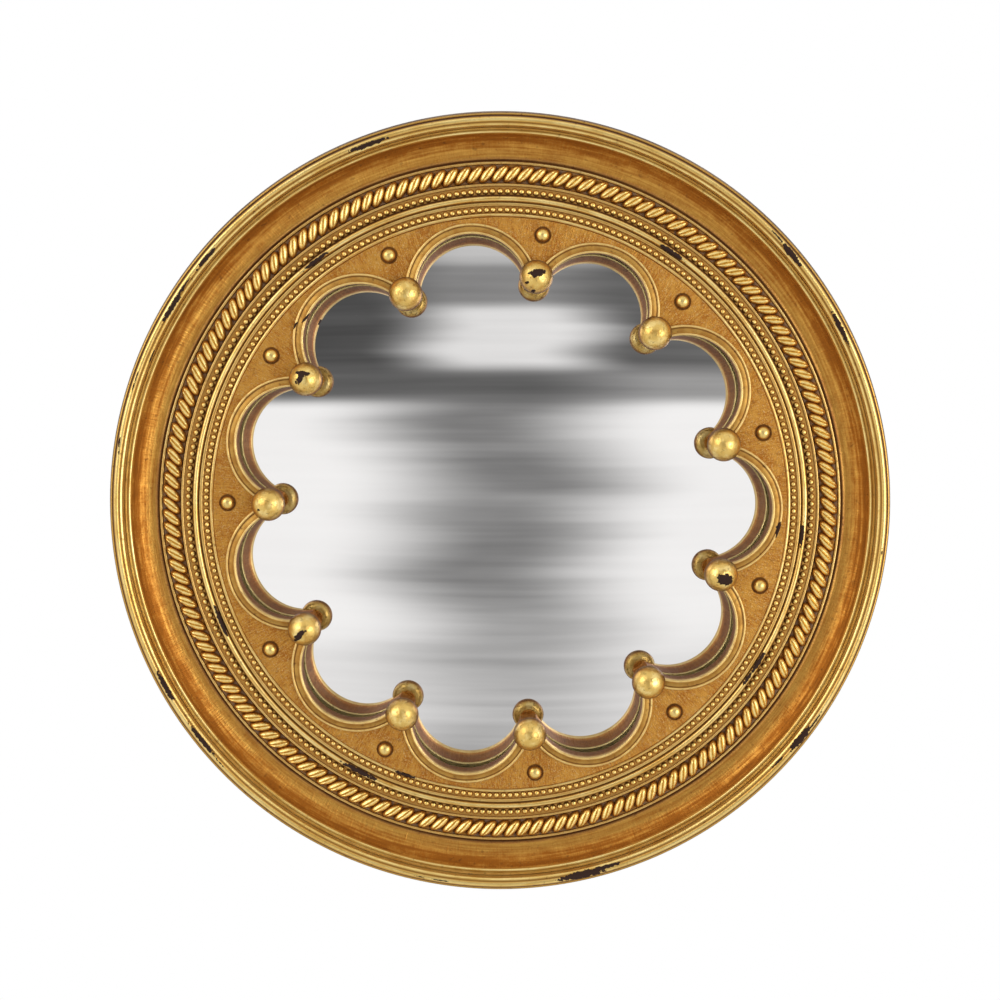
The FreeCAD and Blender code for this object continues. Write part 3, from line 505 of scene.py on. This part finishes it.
mouldings = make_piece("arch_moulding_beads", moulding_points,
                       capped_faces(*moulding_points.shape[:3]),
                       {"bend": bend_of(moulding_outline, 0.6),
                        "hollow": np.abs(section_radius - hollow_middle) < HOLLOW_REACH,
                        "chip": chip_distance(moulding_radius, moulding_turn, MOULDING_CHIPS)})
stand_for(mouldings, "frame", "gilt_moulding", "arch_mouldings")

# %% [markdown]
# ## Balls and studs
#
# A ball on each cusp is a half ball in front and a rounded edge that runs in to a flat back. Some
# balls have lost paint. Each such place is told by the ball's number, clockwise from the top, its
# place right and up in ball radii, its half length and half width, and its tilt. The value "chip"
# is again 1 on the border. Low domed studs sit in the fields between the arches.

# %% Balls with their chips, and studs
BALL_RADIUS, BALL_MIDDLE, BALL_FLAT, BALL_SIDES = 10.7, 44.0, 7.5, 56
front = dome(BALL_RADIUS, BALL_RADIUS, 1.5, 90, 22) + (0, BALL_MIDDLE)
edge = arc_points(front[-1], (BALL_FLAT, BALL_BACK), 0.882, 6)
ball_profile = np.concatenate((front, edge, ((BALL_FLAT, BALL_BACK), (0.4, BALL_BACK))))
ball_points = spun(ball_profile, BALL_SIDES, BALL_RING, ball_angles)
BALL_CHIPS = ((1, 0.05, 0.22, 0.42, 0.23, 12), (1, -0.55, -0.35, 0.10, 0.07, 0),
              (1, -0.20, -0.85, 0.13, 0.08, 10), (4, 0.17, -0.17, 0.44, 0.32, -15),
              (8, -0.22, -0.28, 0.48, 0.17, 45), (9, -0.50, -0.27, 0.07, 0.06, 0),
              (10, -0.13, 0.38, 0.40, 0.12, -5), (10, -0.25, 0.05, 0.34, 0.17, 60))
ball_chip = np.full(ball_points.shape[:3], FAR)
ball_middles = polar(BALL_RING, BALL_MIDDLE, ball_angles)
in_radii = (ball_points - ball_middles[:, None, None, :]) / MM / BALL_RADIUS
for number, right, up, half_length, half_width, tilt in BALL_CHIPS:
    ball, lean = number - 1, math.radians(tilt)
    off_x, off_z = in_radii[ball, ..., 0] - right, in_radii[ball, ..., 2] - up
    lengthwise = (off_x * math.cos(lean) + off_z * math.sin(lean)) / half_length
    crosswise = (off_z * math.cos(lean) - off_x * math.sin(lean)) / half_width
    facing = np.where(in_radii[ball, ..., 1] < 0, 0.0, FAR)
    ball_chip[ball] = np.minimum(ball_chip[ball], np.hypot(lengthwise, crosswise) + facing)
balls = make_piece("gilded_balls", ball_points, capped_faces(*ball_points.shape[:3]),
                   {"chip": ball_chip,
                    "crest": (ball_profile[:, 1, None] - BALL_MIDDLE) / BALL_RADIUS})
stand_for(balls, "frame", "gilt_ball", "cusp_balls")

STUD_RADIUS, STUD_RISE = 4.3, 3.5
stud_profile = np.concatenate((dome(STUD_RADIUS, STUD_RISE, 2, 88, 10) + (0, FIELD),
                               ((STUD_RADIUS - 0.1, FIELD - 0.3), (0.3, FIELD - 0.3))))
stud_points = spun(stud_profile, 32, STUD_RING, ball_angles)
studs = make_piece("field_studs", stud_points, capped_faces(*stud_points.shape[:3]),
                   {"crest": (stud_profile[:, 1, None] - FIELD) / STUD_RISE})
stand_for(studs, "frame", "gilt_ball", "spandrel_studs")

# %% [markdown]
# ## The convex glass
#
# The glass is a shallow cap of a large ball, 1.3 m in radius, silvered. A curved mirror shows
# every flaw of its mesh, so its front is a fine even grid of rings, and the same spun profile
# gives the edge and the back. The height falls off from the middle by curve - sqrt(curve^2 - r^2).

# %% The glass
GLASS_CURVE, GLASS_APEX, GLASS_RADIUS, GLASS_THICKNESS = 1300.0, 30.32, 188.0, 3.0
rings_out = np.linspace(0.6, GLASS_RADIUS, 110)
fall = GLASS_CURVE - np.sqrt(GLASS_CURVE ** 2 - rings_out ** 2)
glass_front = np.stack((rings_out, GLASS_APEX - fall), axis=-1)
glass_back = np.stack((rings_out, GLASS_APEX - GLASS_THICKNESS - fall), axis=-1)[::-9]
glass_profile = np.concatenate((glass_front, glass_back))
glass_points = spun(glass_profile, 360, 0.0, np.zeros(1))
glass = make_piece("convex_glass", glass_points, capped_faces(*glass_points.shape[:3]), crease=30)
stand_for(glass, "frame", "silvered_glass", "mirror_glass")

# %% [markdown]
# ## How the finishes are written
#
# A finish is a network of nodes, and most of its links are plain arithmetic. To read it like
# arithmetic, one small class wraps a number's socket and gives it the operators: `1 - mask` then
# adds a Math node by itself. Every other node comes from one method, which takes the node's type,
# its settings, and the values or links of its sockets.

# %% Numbers of a node network with operators
class Number:
    """A number that varies over a surface: each operator adds the Math node that works it out."""

    def __init__(self, finish, socket):
        self.finish, self.socket = finish, socket

    def math(self, operation, *values):
        node = self.finish.add("ShaderNodeMath", {"operation": operation}, dict(enumerate(values)))
        return Number(self.finish, node.outputs[0])

    def __add__(self, other):
        return self.math("ADD", self, other)

    def __sub__(self, other):
        return self.math("SUBTRACT", self, other)

    def __rsub__(self, other):
        return self.math("SUBTRACT", other, self)

    def __mul__(self, other):
        return self.math("MULTIPLY", self, other)

    def __truediv__(self, other):
        return self.math("DIVIDE", self, other)

    def __pow__(self, other):
        return self.math("POWER", self, other)

    def most(self, other):
        return self.math("MAXIMUM", self, other)

    __radd__, __rmul__ = __add__, __mul__


def length_of(first, *others):
    """The length of a vector with these parts; of one number alone, its size without the sign."""
    total = first * first
    for part in others:
        total = total + part * part
    return total ** 0.5


# %% A finish and the nodes it is made of
class Finish:
    """The node network of a material or of the world, with its shader's plain values set."""

    def __init__(self, data, shader="Principled BSDF", uniform=None):
        data.use_nodes = True
        self.data, self.tree = data, data.node_tree
        self.shader = self.tree.nodes[shader]
        for socket, value in (uniform or {}).items():
            self.feed(self.shader.inputs[socket], value)
        self.place = self.add("ShaderNodeTexCoord").outputs["Object"]

    def add(self, kind, settings=None, sockets=None):
        """Any node: its type, its settings by name, and values or links for its sockets."""
        node = self.tree.nodes.new(kind)
        for key, value in (settings or {}).items():
            setattr(node, key, value)
        for key, value in (sockets or {}).items():
            self.feed(node.inputs[key], value)
        return node

    def feed(self, socket, value):
        source = value.socket if isinstance(value, Number) else value
        if isinstance(source, bpy.types.NodeSocket):
            self.tree.links.new(source, socket)
        else:
            socket.default_value = source

    def value(self, name):
        """The number that the points of the piece carry under this name."""
        return Number(self, self.add("ShaderNodeAttribute",
                                     {"attribute_name": name}).outputs["Fac"])

    def places(self):
        """The object's x, y and z, in metres, as three numbers."""
        split = self.add("ShaderNodeSeparateXYZ", None, {0: self.place})
        return [Number(self, split.outputs[axis]) for axis in range(3)]

    def vector(self, x, y, z):
        return self.add("ShaderNodeCombineXYZ", None, {0: x, 1: y, 2: z}).outputs[0]

    def noise(self, grain, detail=2.0, place=None):
        """Noise from 0 to 1 with grains about so many mm across."""
        node = self.add("ShaderNodeTexNoise", None, {
            "Vector": self.place if place is None else place,
            "Scale": 1 / (grain * MM), "Detail": detail})
        return Number(self, node.outputs[0])

    def noise_at(self, x, y, z, detail=3.0):
        """Noise with one grain to a unit of the place that the three numbers make."""
        return self.noise(1 / MM, detail, self.vector(x, y, z))

    def mask(self, value, low, high):
        """A soft step: 0 at low and 1 at high, whichever of the two is the larger."""
        node = self.add("ShaderNodeMapRange", {"interpolation_type": "SMOOTHSTEP"},
                        {"Value": value, "From Min": low, "From Max": high})
        return Number(self, node.outputs[0])

    def mixed(self, factor, first, second):
        """A colour that goes from the first to the second with the factor."""
        return self.add("ShaderNodeMix", {"data_type": "RGBA"},
                        {0: factor, 6: first, 7: second}).outputs[2]

    def bump(self, height, depth, before=None):
        """A tilt of the surface as if its height, from 0 to 1, were so many mm."""
        sockets = {"Height": height, "Distance": depth * MM}
        if before is not None:
            sockets["Normal"] = before
        return self.add("ShaderNodeBump", None, sockets).outputs[0]

    def show(self, **values):
        """Link what varies to the shader's sockets."""
        for socket, value in values.items():
            self.feed(self.shader.inputs[socket.replace("_", " ")], value)


def paint(red, green, blue):
    """A colour as the screen shows it, turned into the amounts of light that nodes reckon with."""
    shown = np.array((red, green, blue))
    light = np.where(shown <= 0.04045, shown / 12.92, ((shown + 0.055) / 1.055) ** 2.4)
    return (*light.tolist(), 1.0)


def cover(piece, finish):
    """Give a piece this one finish in place of any it has."""
    piece.data.materials.clear()
    piece.data.materials.append(finish.data)


# %% [markdown]
# ## Antiqued gold
#
# Gilding is built up in layers, and the finish follows them: a warm ground under gold leaf, the
# leaf rubbed bright on every raised edge, a brown glaze left standing in the hollows, dust on top
# of that, and chips where all of it is gone. Bright and pale leaf also serve as painted highlight,
# and deep leaf and glaze as painted shade. Each layer is a colour mixed over the last by a number
# between 0 and 1. Where there is glaze or bare ground, the surface is less metallic and rougher,
# so the same numbers feed those sockets too.

# %% The gold layers
# The bright and pale leaf colours also serve as painted highlight, the deep leaf and glaze colours
# as painted shade.
LEAF_BRIGHT, LEAF_PALE = paint(0.99, 0.90, 0.62), paint(0.86, 0.72, 0.40)
LEAF, LEAF_DEEP = paint(0.80, 0.60, 0.28), paint(0.62, 0.37, 0.11)
GLAZE_AND_SHADE, DUST, GROUND = paint(0.33, 0.19, 0.07), paint(0.43, 0.36, 0.31), paint(0.19, 0.12, 0.09)


def gild(finish, pale, deep, rubbed_and_highlit, glazed_and_shaded, dusty, lost, relief, polish=0.36):
    """Leaf from plain to pale or deep, then rubbed edges and painted highlight, glaze and painted
    shade, dust and lost leaf, in turn.
    """
    colour = finish.mixed(pale, LEAF, LEAF_PALE)
    colour = finish.mixed(deep, colour, LEAF_DEEP)
    colour = finish.mixed(rubbed_and_highlit, colour, LEAF_BRIGHT)
    colour = finish.mixed(glazed_and_shaded, colour, GLAZE_AND_SHADE)
    colour = finish.mixed(dusty, colour, DUST)
    colour = finish.mixed(lost, colour, GROUND)
    bare = (glazed_and_shaded * 0.4).most(dusty * 0.8).most(lost)
    finish.show(Base_Color=colour, Metallic=0.88 * (1 - bare),
                Roughness=polish + 0.1 * deep + 0.4 * bare, Normal=relief)


def new_finish(name, uniform=None):
    return Finish(bpy.data.materials.new(name), uniform=uniform)


def new_gold(name):
    """A finish whose bare places hardly shine, because dust and glaze are dull."""
    return new_finish(name, {"Specular IOR Level": 0.15})


def lost_leaf(finish):
    """1 inside a chip. Noise added to the distance makes its border ragged."""
    return finish.mask(finish.value("chip") + 1.9 * (finish.noise(2.0, 5) - 0.5), 1.16, 1.04)


# %% [markdown]
# On the ring the gold was brushed on. In the cove the brush ran both along the ring and, lightly,
# across it. A pattern that follows the ring needs the angle, but an angle jumps from 360 back to
# 0 degrees. The direction from the middle, x / radius and z / radius, has no jump: scaled up, it
# is a place on a large drum, and noise on that drum has streaks one after another all the way
# round.

# %% Gold on the turned ring
gold = new_gold("antiqued_gold_ring")
x, y, z = gold.places()
from_axis = length_of(x, z)
front = gold.mask(y, -0.0270, -0.0285)


def rings(lines):
    """Soft rings on the front, summed: each has a radius and half width in mm, and a strength."""
    total = 0.0
    for radius, half_width, strength in lines:
        off = from_axis / MM - radius
        total = total + strength * gold.mask(length_of(off), half_width, half_width * 0.3)
    return total * front


drum_x, drum_z = x / from_axis, z / from_axis
hatching = gold.noise_at(drum_x * 230, from_axis * 90, drum_z * 230)
streaks = gold.noise_at(drum_x * 5, from_axis * 700, drum_z * 5)
in_cove = gold.mask(from_axis, 0.2184, 0.2196) * gold.mask(from_axis, 0.2362, 0.2352) * front
# The outer slope of the cove, rising to the rim, gets deeper leaf and glaze: painted shade.
shaded_cove_slope = gold.mask(from_axis, 0.2240, 0.2340) * in_cove
on_rim = gold.mask(from_axis, 0.2372, 0.2385)
bend, cloud, grain = gold.value("bend"), gold.noise(22, 3), gold.noise(1.3, 3)
hollow, raised = gold.mask(bend, 0.20, 0.95), gold.mask(bend, -0.45, -1.1)
specks = gold.mask(gold.noise(3.0, 4), 0.60, 0.74)
# The rim's outer side is made dark brown.
outside = gold.mask(from_axis, 0.2474, 0.2486) * gold.mask(y, -0.0432, -0.0420)
behind = gold.mask(y, -0.0105, -0.0085)
# Rings of paler, brighter leaf at listed radii along the beads and fillets are painted highlights.
painted_highlight_rings = rings((
    (184.7, 1.4, 0.7), (191.7, 1.0, 0.5), (195.1, 1.9, 1.0), (204.1, 0.6, 0.2), (218.1, 0.6, 0.5),
    (236.9, 1.0, 1.0), (238.4, 0.8, 1.0), (239.3, 0.6, 0.5), (240.5, 0.9, 0.9), (243.8, 1.5, 1.0)))
# Dark rings at the feet of the beads and in the grooves are painted shade, together with glaze.
shade_and_glaze_rings = rings(((186.2, 0.6, 0.6), (193.1, 0.6, 0.7), (197.2, 1.1, 1.0), (219.5, 1.2, 0.9),
                    (241.9, 0.6, 0.6), (246.2, 1.3, 1.0)))
mottle = gold.noise_at(drum_x * 24, from_axis * 280, drum_z * 24)
wear = (streaks - 0.5) * 2.2 + (mottle - 0.5) * 1.2
gild(gold,
     pale=on_rim * 0.3 + painted_highlight_rings * 0.6 + (cloud - 0.5) * 0.9 + wear * 0.4,
     deep=(0.20 + in_cove * 0.15 + shaded_cove_slope * 0.70 + in_cove * wear * 0.8 + (cloud - 0.5) * 0.5
           + (hatching - 0.5 + 1.2 * (grain - 0.5)) * 0.45 * in_cove)
          * (1 - raised) * (1 - painted_highlight_rings),
     rubbed_and_highlit=raised * 0.5 * grain + painted_highlight_rings * (0.35 + wear),
     glazed_and_shaded=(hollow * 0.3).most(shade_and_glaze_rings)
            + (shaded_cove_slope * 0.3 + 0.15) * (0.4 + wear) * (1 - painted_highlight_rings)
            + specks * 0.4 + outside * (0.75 + 0.6 * (streaks - 0.3))
            + behind * (0.85 + 0.7 * (streaks - 0.5) + 0.4 * (grain - 0.5)),
     dusty=gold.value("soil") * (0.35 + 1.2 * (grain - 0.3)) * (1 - shade_and_glaze_rings),
     lost=lost_leaf(gold),
     relief=gold.bump(lost_leaf(gold), -0.25,
                      gold.bump((mottle + hatching) * in_cove + 0.6 * grain, 0.18)),
     polish=0.33)
cover(frame_face, gold)

# %% [markdown]
# The carving, the rope and the pearls, carries a value called "crest": 0 in the hollows between
# the lobes and 1 on top. Dust and glaze lie low, with deeper leaf as painted shade; rubbed leaf
# lies high, with pale leaf as painted highlight.

# %% Gold on the rope and the pearls
gold = new_gold("antiqued_gold_carving")
crest, grain = gold.value("crest"), gold.noise(1.1, 3)
uneven = crest + 0.5 * (grain - 0.5)
gild(gold, pale=gold.mask(uneven, 0.50, 0.85),
     deep=gold.mask(uneven, 0.75, 0.30) * 0.6,
     rubbed_and_highlit=gold.mask(uneven, 0.70, 0.95) * 0.7,
     glazed_and_shaded=gold.mask(uneven, 0.40, 0.10) * 0.35,
     dusty=gold.mask(uneven, 0.18, 0.02) * gold.mask(gold.noise(4, 2), 0.35, 0.55) * 0.75,
     lost=gold.mask(gold.noise(5.0, 4), 0.75, 0.79),
     relief=gold.bump(grain, 0.2), polish=0.32)
for piece in (rope, outer_pearls, inner_pearls):
    cover(piece, gold)

# %% [markdown]
# The plate's fields are stippled with a deeper, orange gold. A thin groove runs round each stud.
# It is drawn by the finish, as a dark ring of painted shade and glaze over a dip in the relief:
# the angle about the axis, folded into one of the eleven bays, gives the place within the bay, and
# the distance from the bay's stud gives the groove.

# %% Gold on the plate
gold = new_gold("stippled_gold_plate")
x, y, z = gold.places()
bay_angle = x.math("ARCTAN2", x, z) - FIRST_BALL
bay_angle = bay_angle - PITCH * (bay_angle / PITCH).math("ROUND", bay_angle / PITCH)
from_axis = length_of(x, z)
bay_out = from_axis * bay_angle.math("COSINE", bay_angle) - STUD_RING * MM
bay_across = from_axis * bay_angle.math("SINE", bay_angle)
from_stud = length_of(bay_out, bay_across)
groove = gold.mask(from_stud, 0.0041, 0.0044) * gold.mask(from_stud, 0.0058, 0.0049)
brushed = gold.noise_at(x / from_axis * 260, from_axis * 180, z / from_axis * 260)
stipple, cloud, grit = gold.noise(0.8, 2), gold.noise(12, 4), gold.noise(2.6, 4)
wall = gold.value("wall")
# A pale line along the back edge of the arch walls, next to the glass: painted highlight.
back_edge_highlight = gold.mask(y, -0.0240, -0.0236) * gold.mask(from_axis, 0.1790, 0.1780)
between = gold.mask(from_axis, 0.1445, 0.1500)
# On the arch walls deeper leaf and glaze are painted shade; dust lies on them away from the cusps.
gild(gold, pale=gold.mask(cloud, 0.48, 0.66) * 0.6,
     deep=0.25 + 0.70 * gold.mask(stipple * 0.35 + brushed * 0.3 + cloud * 0.35, 0.42, 0.58)
          + wall * 0.4,
     rubbed_and_highlit=gold.mask(stipple, 0.56, 0.68) * 0.3 * (1 - wall) + back_edge_highlight * 0.9,
     glazed_and_shaded=groove * 0.9 + gold.mask(grit, 0.44, 0.32) * 0.25 + wall * 0.55,
     dusty=wall * between * (0.05 + 0.6 * (gold.noise(9, 3) - 0.3)),
     lost=gold.mask(gold.noise(4.0, 4), 0.76, 0.80),
     relief=gold.bump(1 - groove, 0.4, gold.bump(stipple + brushed, 0.2)),
     polish=0.40)
cover(plate, gold)

# %% Gold on the arch mouldings
gold = new_gold("antiqued_gold_moulding")
bend, grain = gold.value("bend"), gold.noise(1.2, 3)
worn = gold.noise(5, 3)
gild(gold, pale=0.2 + (worn - 0.4) * 0.8,
     deep=gold.mask(gold.noise(8, 3), 0.42, 0.64) * 0.4,
     rubbed_and_highlit=gold.mask(bend, -0.35, -1.0) * (0.1 + 0.7 * worn),
     glazed_and_shaded=gold.mask(bend, 0.30, 1.1) * 0.8 + 0.05
            + gold.value("hollow") * (0.05 + 0.5 * worn)
            + gold.mask(gold.noise(3.0, 3), 0.60, 0.72) * 0.3,
     dusty=gold.mask(bend, 0.5, 1.4) * 0.2, lost=lost_leaf(gold),
     relief=gold.bump(grain, 0.12), polish=0.40)
cover(mouldings, gold)

# %% Gold on the balls and the studs
gold = new_gold("burnished_gold_ball")
crest, patches = gold.value("crest"), gold.noise(6, 3)
grain, flecks = gold.noise(1.4, 3), gold.noise(2.2, 4)
# Towards its edge the ball's front turns to deeper leaf and glaze: painted shade. Behind the edge,
# towards the plate, glaze gathers.
gild(gold, pale=1.0 - gold.mask(patches, 0.50, 0.75) * 0.5,
     deep=gold.mask(crest, 0.72, 0.30) * gold.mask(crest, -0.35, -0.10) * 0.7
          + gold.mask(patches, 0.55, 0.75) * 0.2,
     rubbed_and_highlit=gold.mask(patches, 0.50, 0.34) * 0.5 + gold.mask(grain, 0.58, 0.70) * 0.3,
     glazed_and_shaded=gold.mask(crest + 0.25 * (patches - 0.5), 0.58, 0.15)
            * gold.mask(crest, -0.35, -0.10) * 0.8
            + gold.mask(crest, -0.20, -0.35) * 0.3 + gold.mask(flecks, 0.58, 0.68) * 0.40,
     dusty=gold.mask(gold.noise(3.1, 4), 0.70, 0.78) * 0.3, lost=lost_leaf(gold),
     relief=gold.bump(lost_leaf(gold), -0.2, gold.bump(patches + 0.3 * grain, 0.6)),
     polish=0.33)
cover(balls, gold)

gold = new_gold("burnished_gold_stud")
crest, patches = gold.value("crest"), gold.noise(3, 3)
# The stud is paler on top and darker round its foot: painted highlight and painted shade, with
# glaze at the foot.
gild(gold, pale=gold.mask(crest, 0.2, 0.8), deep=gold.mask(crest, 0.75, 0.25) * 0.6,
     rubbed_and_highlit=gold.mask(crest, 0.8, 1.0) * 0.4, glazed_and_shaded=gold.mask(crest, 0.25, 0.02) * 0.8,
     dusty=gold.mask(patches, 0.66, 0.76) * 0.3,
     lost=gold.mask(gold.noise(4.0, 4), 0.78, 0.82),
     relief=gold.bump(patches, 0.2), polish=0.30)
cover(studs, gold)

# %% [markdown]
# ## Glass, wood, board, felt and steel
#
# The silvered glass is a smooth metal surface with the faintest haze and, at its very edge, a
# little foxing. The parts behind the frame are plain: each has the grain or the fibres of its
# stuff, in the colour and in a slight relief.

# %% The silvered glass
silvering = new_finish("silvered_glass", {"Metallic": 1.0})
x, _, z = silvering.places()
near_edge = silvering.mask(length_of(x, z), 0.165, 0.187)
foxing = silvering.mask(silvering.noise(4, 5), 0.58, 0.70) * near_edge
haze = silvering.noise(60, 3)
silvering.show(Base_Color=silvering.mixed(foxing * 0.5, paint(0.97, 0.97, 0.975),
                                          paint(0.45, 0.42, 0.40)),
               Roughness=0.012 + 0.02 * haze + 0.25 * foxing)
cover(glass, silvering)

# %% Finishes of the parts behind
def plain_finish(name, metallic, light, dark, grain, stretch, rough, relief):
    """A grain of two colours, stretched along x, y and z by the given factors, with its relief."""
    finish = new_finish(name, {"Metallic": metallic})
    x, y, z = finish.places()
    along_grain = finish.vector(x * stretch[0], y * stretch[1], z * stretch[2])
    fibres, cloud = finish.noise(grain, 4, along_grain), finish.noise(30, 2)
    finish.show(Base_Color=finish.mixed(finish.mask(fibres * 0.7 + cloud * 0.3, 0.35, 0.65),
                                        paint(*light), paint(*dark)),
                Roughness=rough + 0.15 * (fibres - 0.5), Normal=finish.bump(fibres, relief))
    return finish


BUTTONS = [f"turn_button_{number}" for number in range(1, 7)]
BEHIND = (
    (("zinc_plated_steel", 1.0, (0.80, 0.79, 0.76), (0.66, 0.65, 0.62), 0.8, (1, 1, 0.2), 0.34,
      0.01),
     ["turn_button_screws", "hanger_screws", "hanger_strap_left", "hanger_strap_right",
      "d_ring_left", "d_ring_right"] + BUTTONS),
    (("black_rubber", 0.0, (0.11, 0.11, 0.11), (0.07, 0.07, 0.07), 0.8, (1, 1, 1), 0.7, 0.05),
     ["wall_pads"]),
    (("dark_felt", 0.0, (0.13, 0.12, 0.11), (0.06, 0.055, 0.05), 0.9, (1, 1, 1), 0.95, 0.20),
     ["glass_spacer"]),
    (("grey_card", 0.0, (0.50, 0.45, 0.39), (0.40, 0.36, 0.31), 1.8, (1, 1, 1), 0.9, 0.10),
     ["packing_ring"]),
    (("fibreboard", 0.0, (0.46, 0.34, 0.23), (0.34, 0.24, 0.15), 1.1, (1, 1, 0.5), 0.75, 0.12),
     ["backboard"]),
    (("beech", 0.0, (0.78, 0.62, 0.43), (0.66, 0.49, 0.31), 2.5, (1, 0.12, 1), 0.6, 0.06),
     ["ball_dowels"]),
)
for stuff, nodes in BEHIND:
    finish = plain_finish(*stuff)
    for node in nodes:
        cover(bpy.data.objects[node], finish)
    print(f"{finish.data.name} on {len(nodes)} nodes")

# %% [markdown]
# ## The studio
#
# A pale floor lies well below the mirror and fades into white. The world is white wherever the
# camera or a reflection looks, and gives a plain soft light. Two soft lamps stand to the left and
# right in front: their two reflections model the balls. The glass shows what is behind the camera,
# so a large board there, seen only in reflections, is streaked in soft greys from side to side.

# %% Floor, world and the streaked board
def stage_piece(name, points, finish):
    piece = make_piece(name, points, grid_faces(*points.shape[:2], False, False))
    cover(piece, finish)
    return piece


FLOOR_HEIGHT, FLOOR_REACH = -0.80, 1.5
floor_paint = new_finish("floor_paint", {"Roughness": 0.9})
x, y, _ = floor_paint.places()
fade = floor_paint.mask(length_of(x, y), 0.6, 1.2)
blotches = floor_paint.noise(180, 3)
floor_paint.show(Base_Color=floor_paint.mixed(blotches, paint(0.93, 0.93, 0.93),
                                              paint(0.96, 0.96, 0.96)))
clear = floor_paint.add("ShaderNodeBsdfTransparent")
output = floor_paint.tree.nodes["Material Output"]
blend = floor_paint.add("ShaderNodeMixShader", None, {0: fade, 1: floor_paint.shader.outputs[0],
                                                      2: clear.outputs[0]})
floor_paint.feed(output.inputs["Surface"], blend.outputs[0])
side, depth = np.meshgrid(np.linspace(-1, 1, 3), np.linspace(-1, 1, 3), indexing="ij")
stage_piece("floor", np.stack((side, depth, side * 0), axis=-1) * FLOOR_REACH
            + (0, 0, FLOOR_HEIGHT), floor_paint)

studio = Finish(bpy.data.worlds.new("studio"), "Background", {"Color": (1, 1, 1, 1)})
rays = studio.add("ShaderNodeLightPath")
seen = Number(studio, rays.outputs["Is Camera Ray"])
seen = seen.most(Number(studio, rays.outputs["Is Glossy Ray"]))
seen = seen.most(Number(studio, rays.outputs["Is Transmission Ray"]))
AMBIENT = 0.7
studio.feed(studio.shader.inputs["Strength"], AMBIENT + (1 - AMBIENT) * seen)
bpy.context.scene.world = studio.data

BOARD_DISTANCE, BOARD_REACH = 3.0, 1.9
board_paint = new_finish("streaked_board_paint", {"Base Color": (0, 0, 0, 1), "Roughness": 1.0,
                                                  "Specular IOR Level": 0.0,
                                                  "Emission Strength": 1.0})
x, y, z = board_paint.places()
broad = board_paint.noise_at(x * 0.35 + 2.0, y, z * 2.6, detail=1)
fine = board_paint.noise_at(x * 0.5, y, z * 16.0)
ragged = x + 0.9 * (board_paint.noise_at(x * 0.2, y + 4.0, z * 4.0) - 0.5)
off_middle = length_of(ragged)
sides = board_paint.mask(off_middle, 0.05, 1.0)
below_band, above_band = board_paint.mask(z, 0.31, 0.22), board_paint.mask(z, 0.38, 0.48)
low_tone = (0.44 + 0.68 * sides + 0.22 * board_paint.mask(z, -0.55, -1.05) * (1 - sides)
            - 0.16 * board_paint.mask(z, -0.85, -1.15) * sides
            + 0.5 * (broad - 0.5) * (1 - sides) + 0.30 * (fine - 0.5) * (1 - 0.6 * sides))
patch = board_paint.mask(off_middle, 0.70, 0.15) * (1 - 0.7 * board_paint.mask(z, 0.71, 0.79))
high_tone = (0.26 + 0.68 * patch + 0.05 * x + 0.30 * board_paint.mask(z, 0.93, 1.03)
             + 0.25 * (fine - 0.5))
band_tone = 0.30 + 0.25 * board_paint.mask(x, 0.1, 0.9) + 0.25 * (fine - 0.5)
tone = band_tone + below_band * (low_tone - band_tone) + above_band * (high_tone - band_tone)
light = board_paint.mask(tone, -0.35, 1.30) ** 1.9
board_paint.show(Emission_Color=board_paint.mixed(light, (0, 0, 0, 1), (1.0, 0.985, 0.965, 1)))
board = stage_piece("streaked_board", np.stack((side, side * 0, depth), axis=-1) * BOARD_REACH
                    + (0, -BOARD_DISTANCE, -0.15), board_paint)
board.visible_camera = board.visible_diffuse = board.visible_shadow = False

# %% Lamps
def soft_lamp(name, place, width, power):
    """A square lamp of this width that faces the mirror's middle."""
    data = bpy.data.lights.new(name, "AREA")
    data.energy, data.size = power, width
    lamp = bpy.data.objects.new(name, data)
    bpy.context.scene.collection.objects.link(lamp)
    lamp.location, (x, y, z) = place, place
    lamp.rotation_euler = math.atan2(math.hypot(x, y), z), 0, math.atan2(x, -y)


soft_lamp("lamp_left", (-1.55, -1.30, 0.80), 1.3, 14)
soft_lamp("lamp_right", (1.48, -1.62, 0.05), 1.1, 17)

# %% [markdown]
# ## The camera
#
# The photograph looks slightly down at the mirror. Its frame edge is a circle 779 pixels across in
# 1000, and the balls, which stand nearer, are shifted a little: that shift gives the distance.

# %% Camera
camera_data = bpy.data.cameras.new("camera")
camera_data.lens, camera_data.sensor_width = 75, 36
camera = bpy.data.objects.new("camera", camera_data)
bpy.context.scene.collection.objects.link(camera)
CAMERA_DISTANCE, CAMERA_RISE, RIM_PLANE = 1.337, math.radians(4.9), -0.032
camera.location = (0, RIM_PLANE - CAMERA_DISTANCE * math.cos(CAMERA_RISE),
                   CAMERA_DISTANCE * math.sin(CAMERA_RISE))
aim = np.array((-0.00005, RIM_PLANE, 0.0035)) - camera.location
camera.rotation_euler = (math.atan2(math.hypot(aim[0], aim[1]), -aim[2]), 0,
                         math.atan2(-aim[0], aim[1]))
bpy.context.scene.camera = camera
bpy.context.scene.view_settings.view_transform = "Standard"
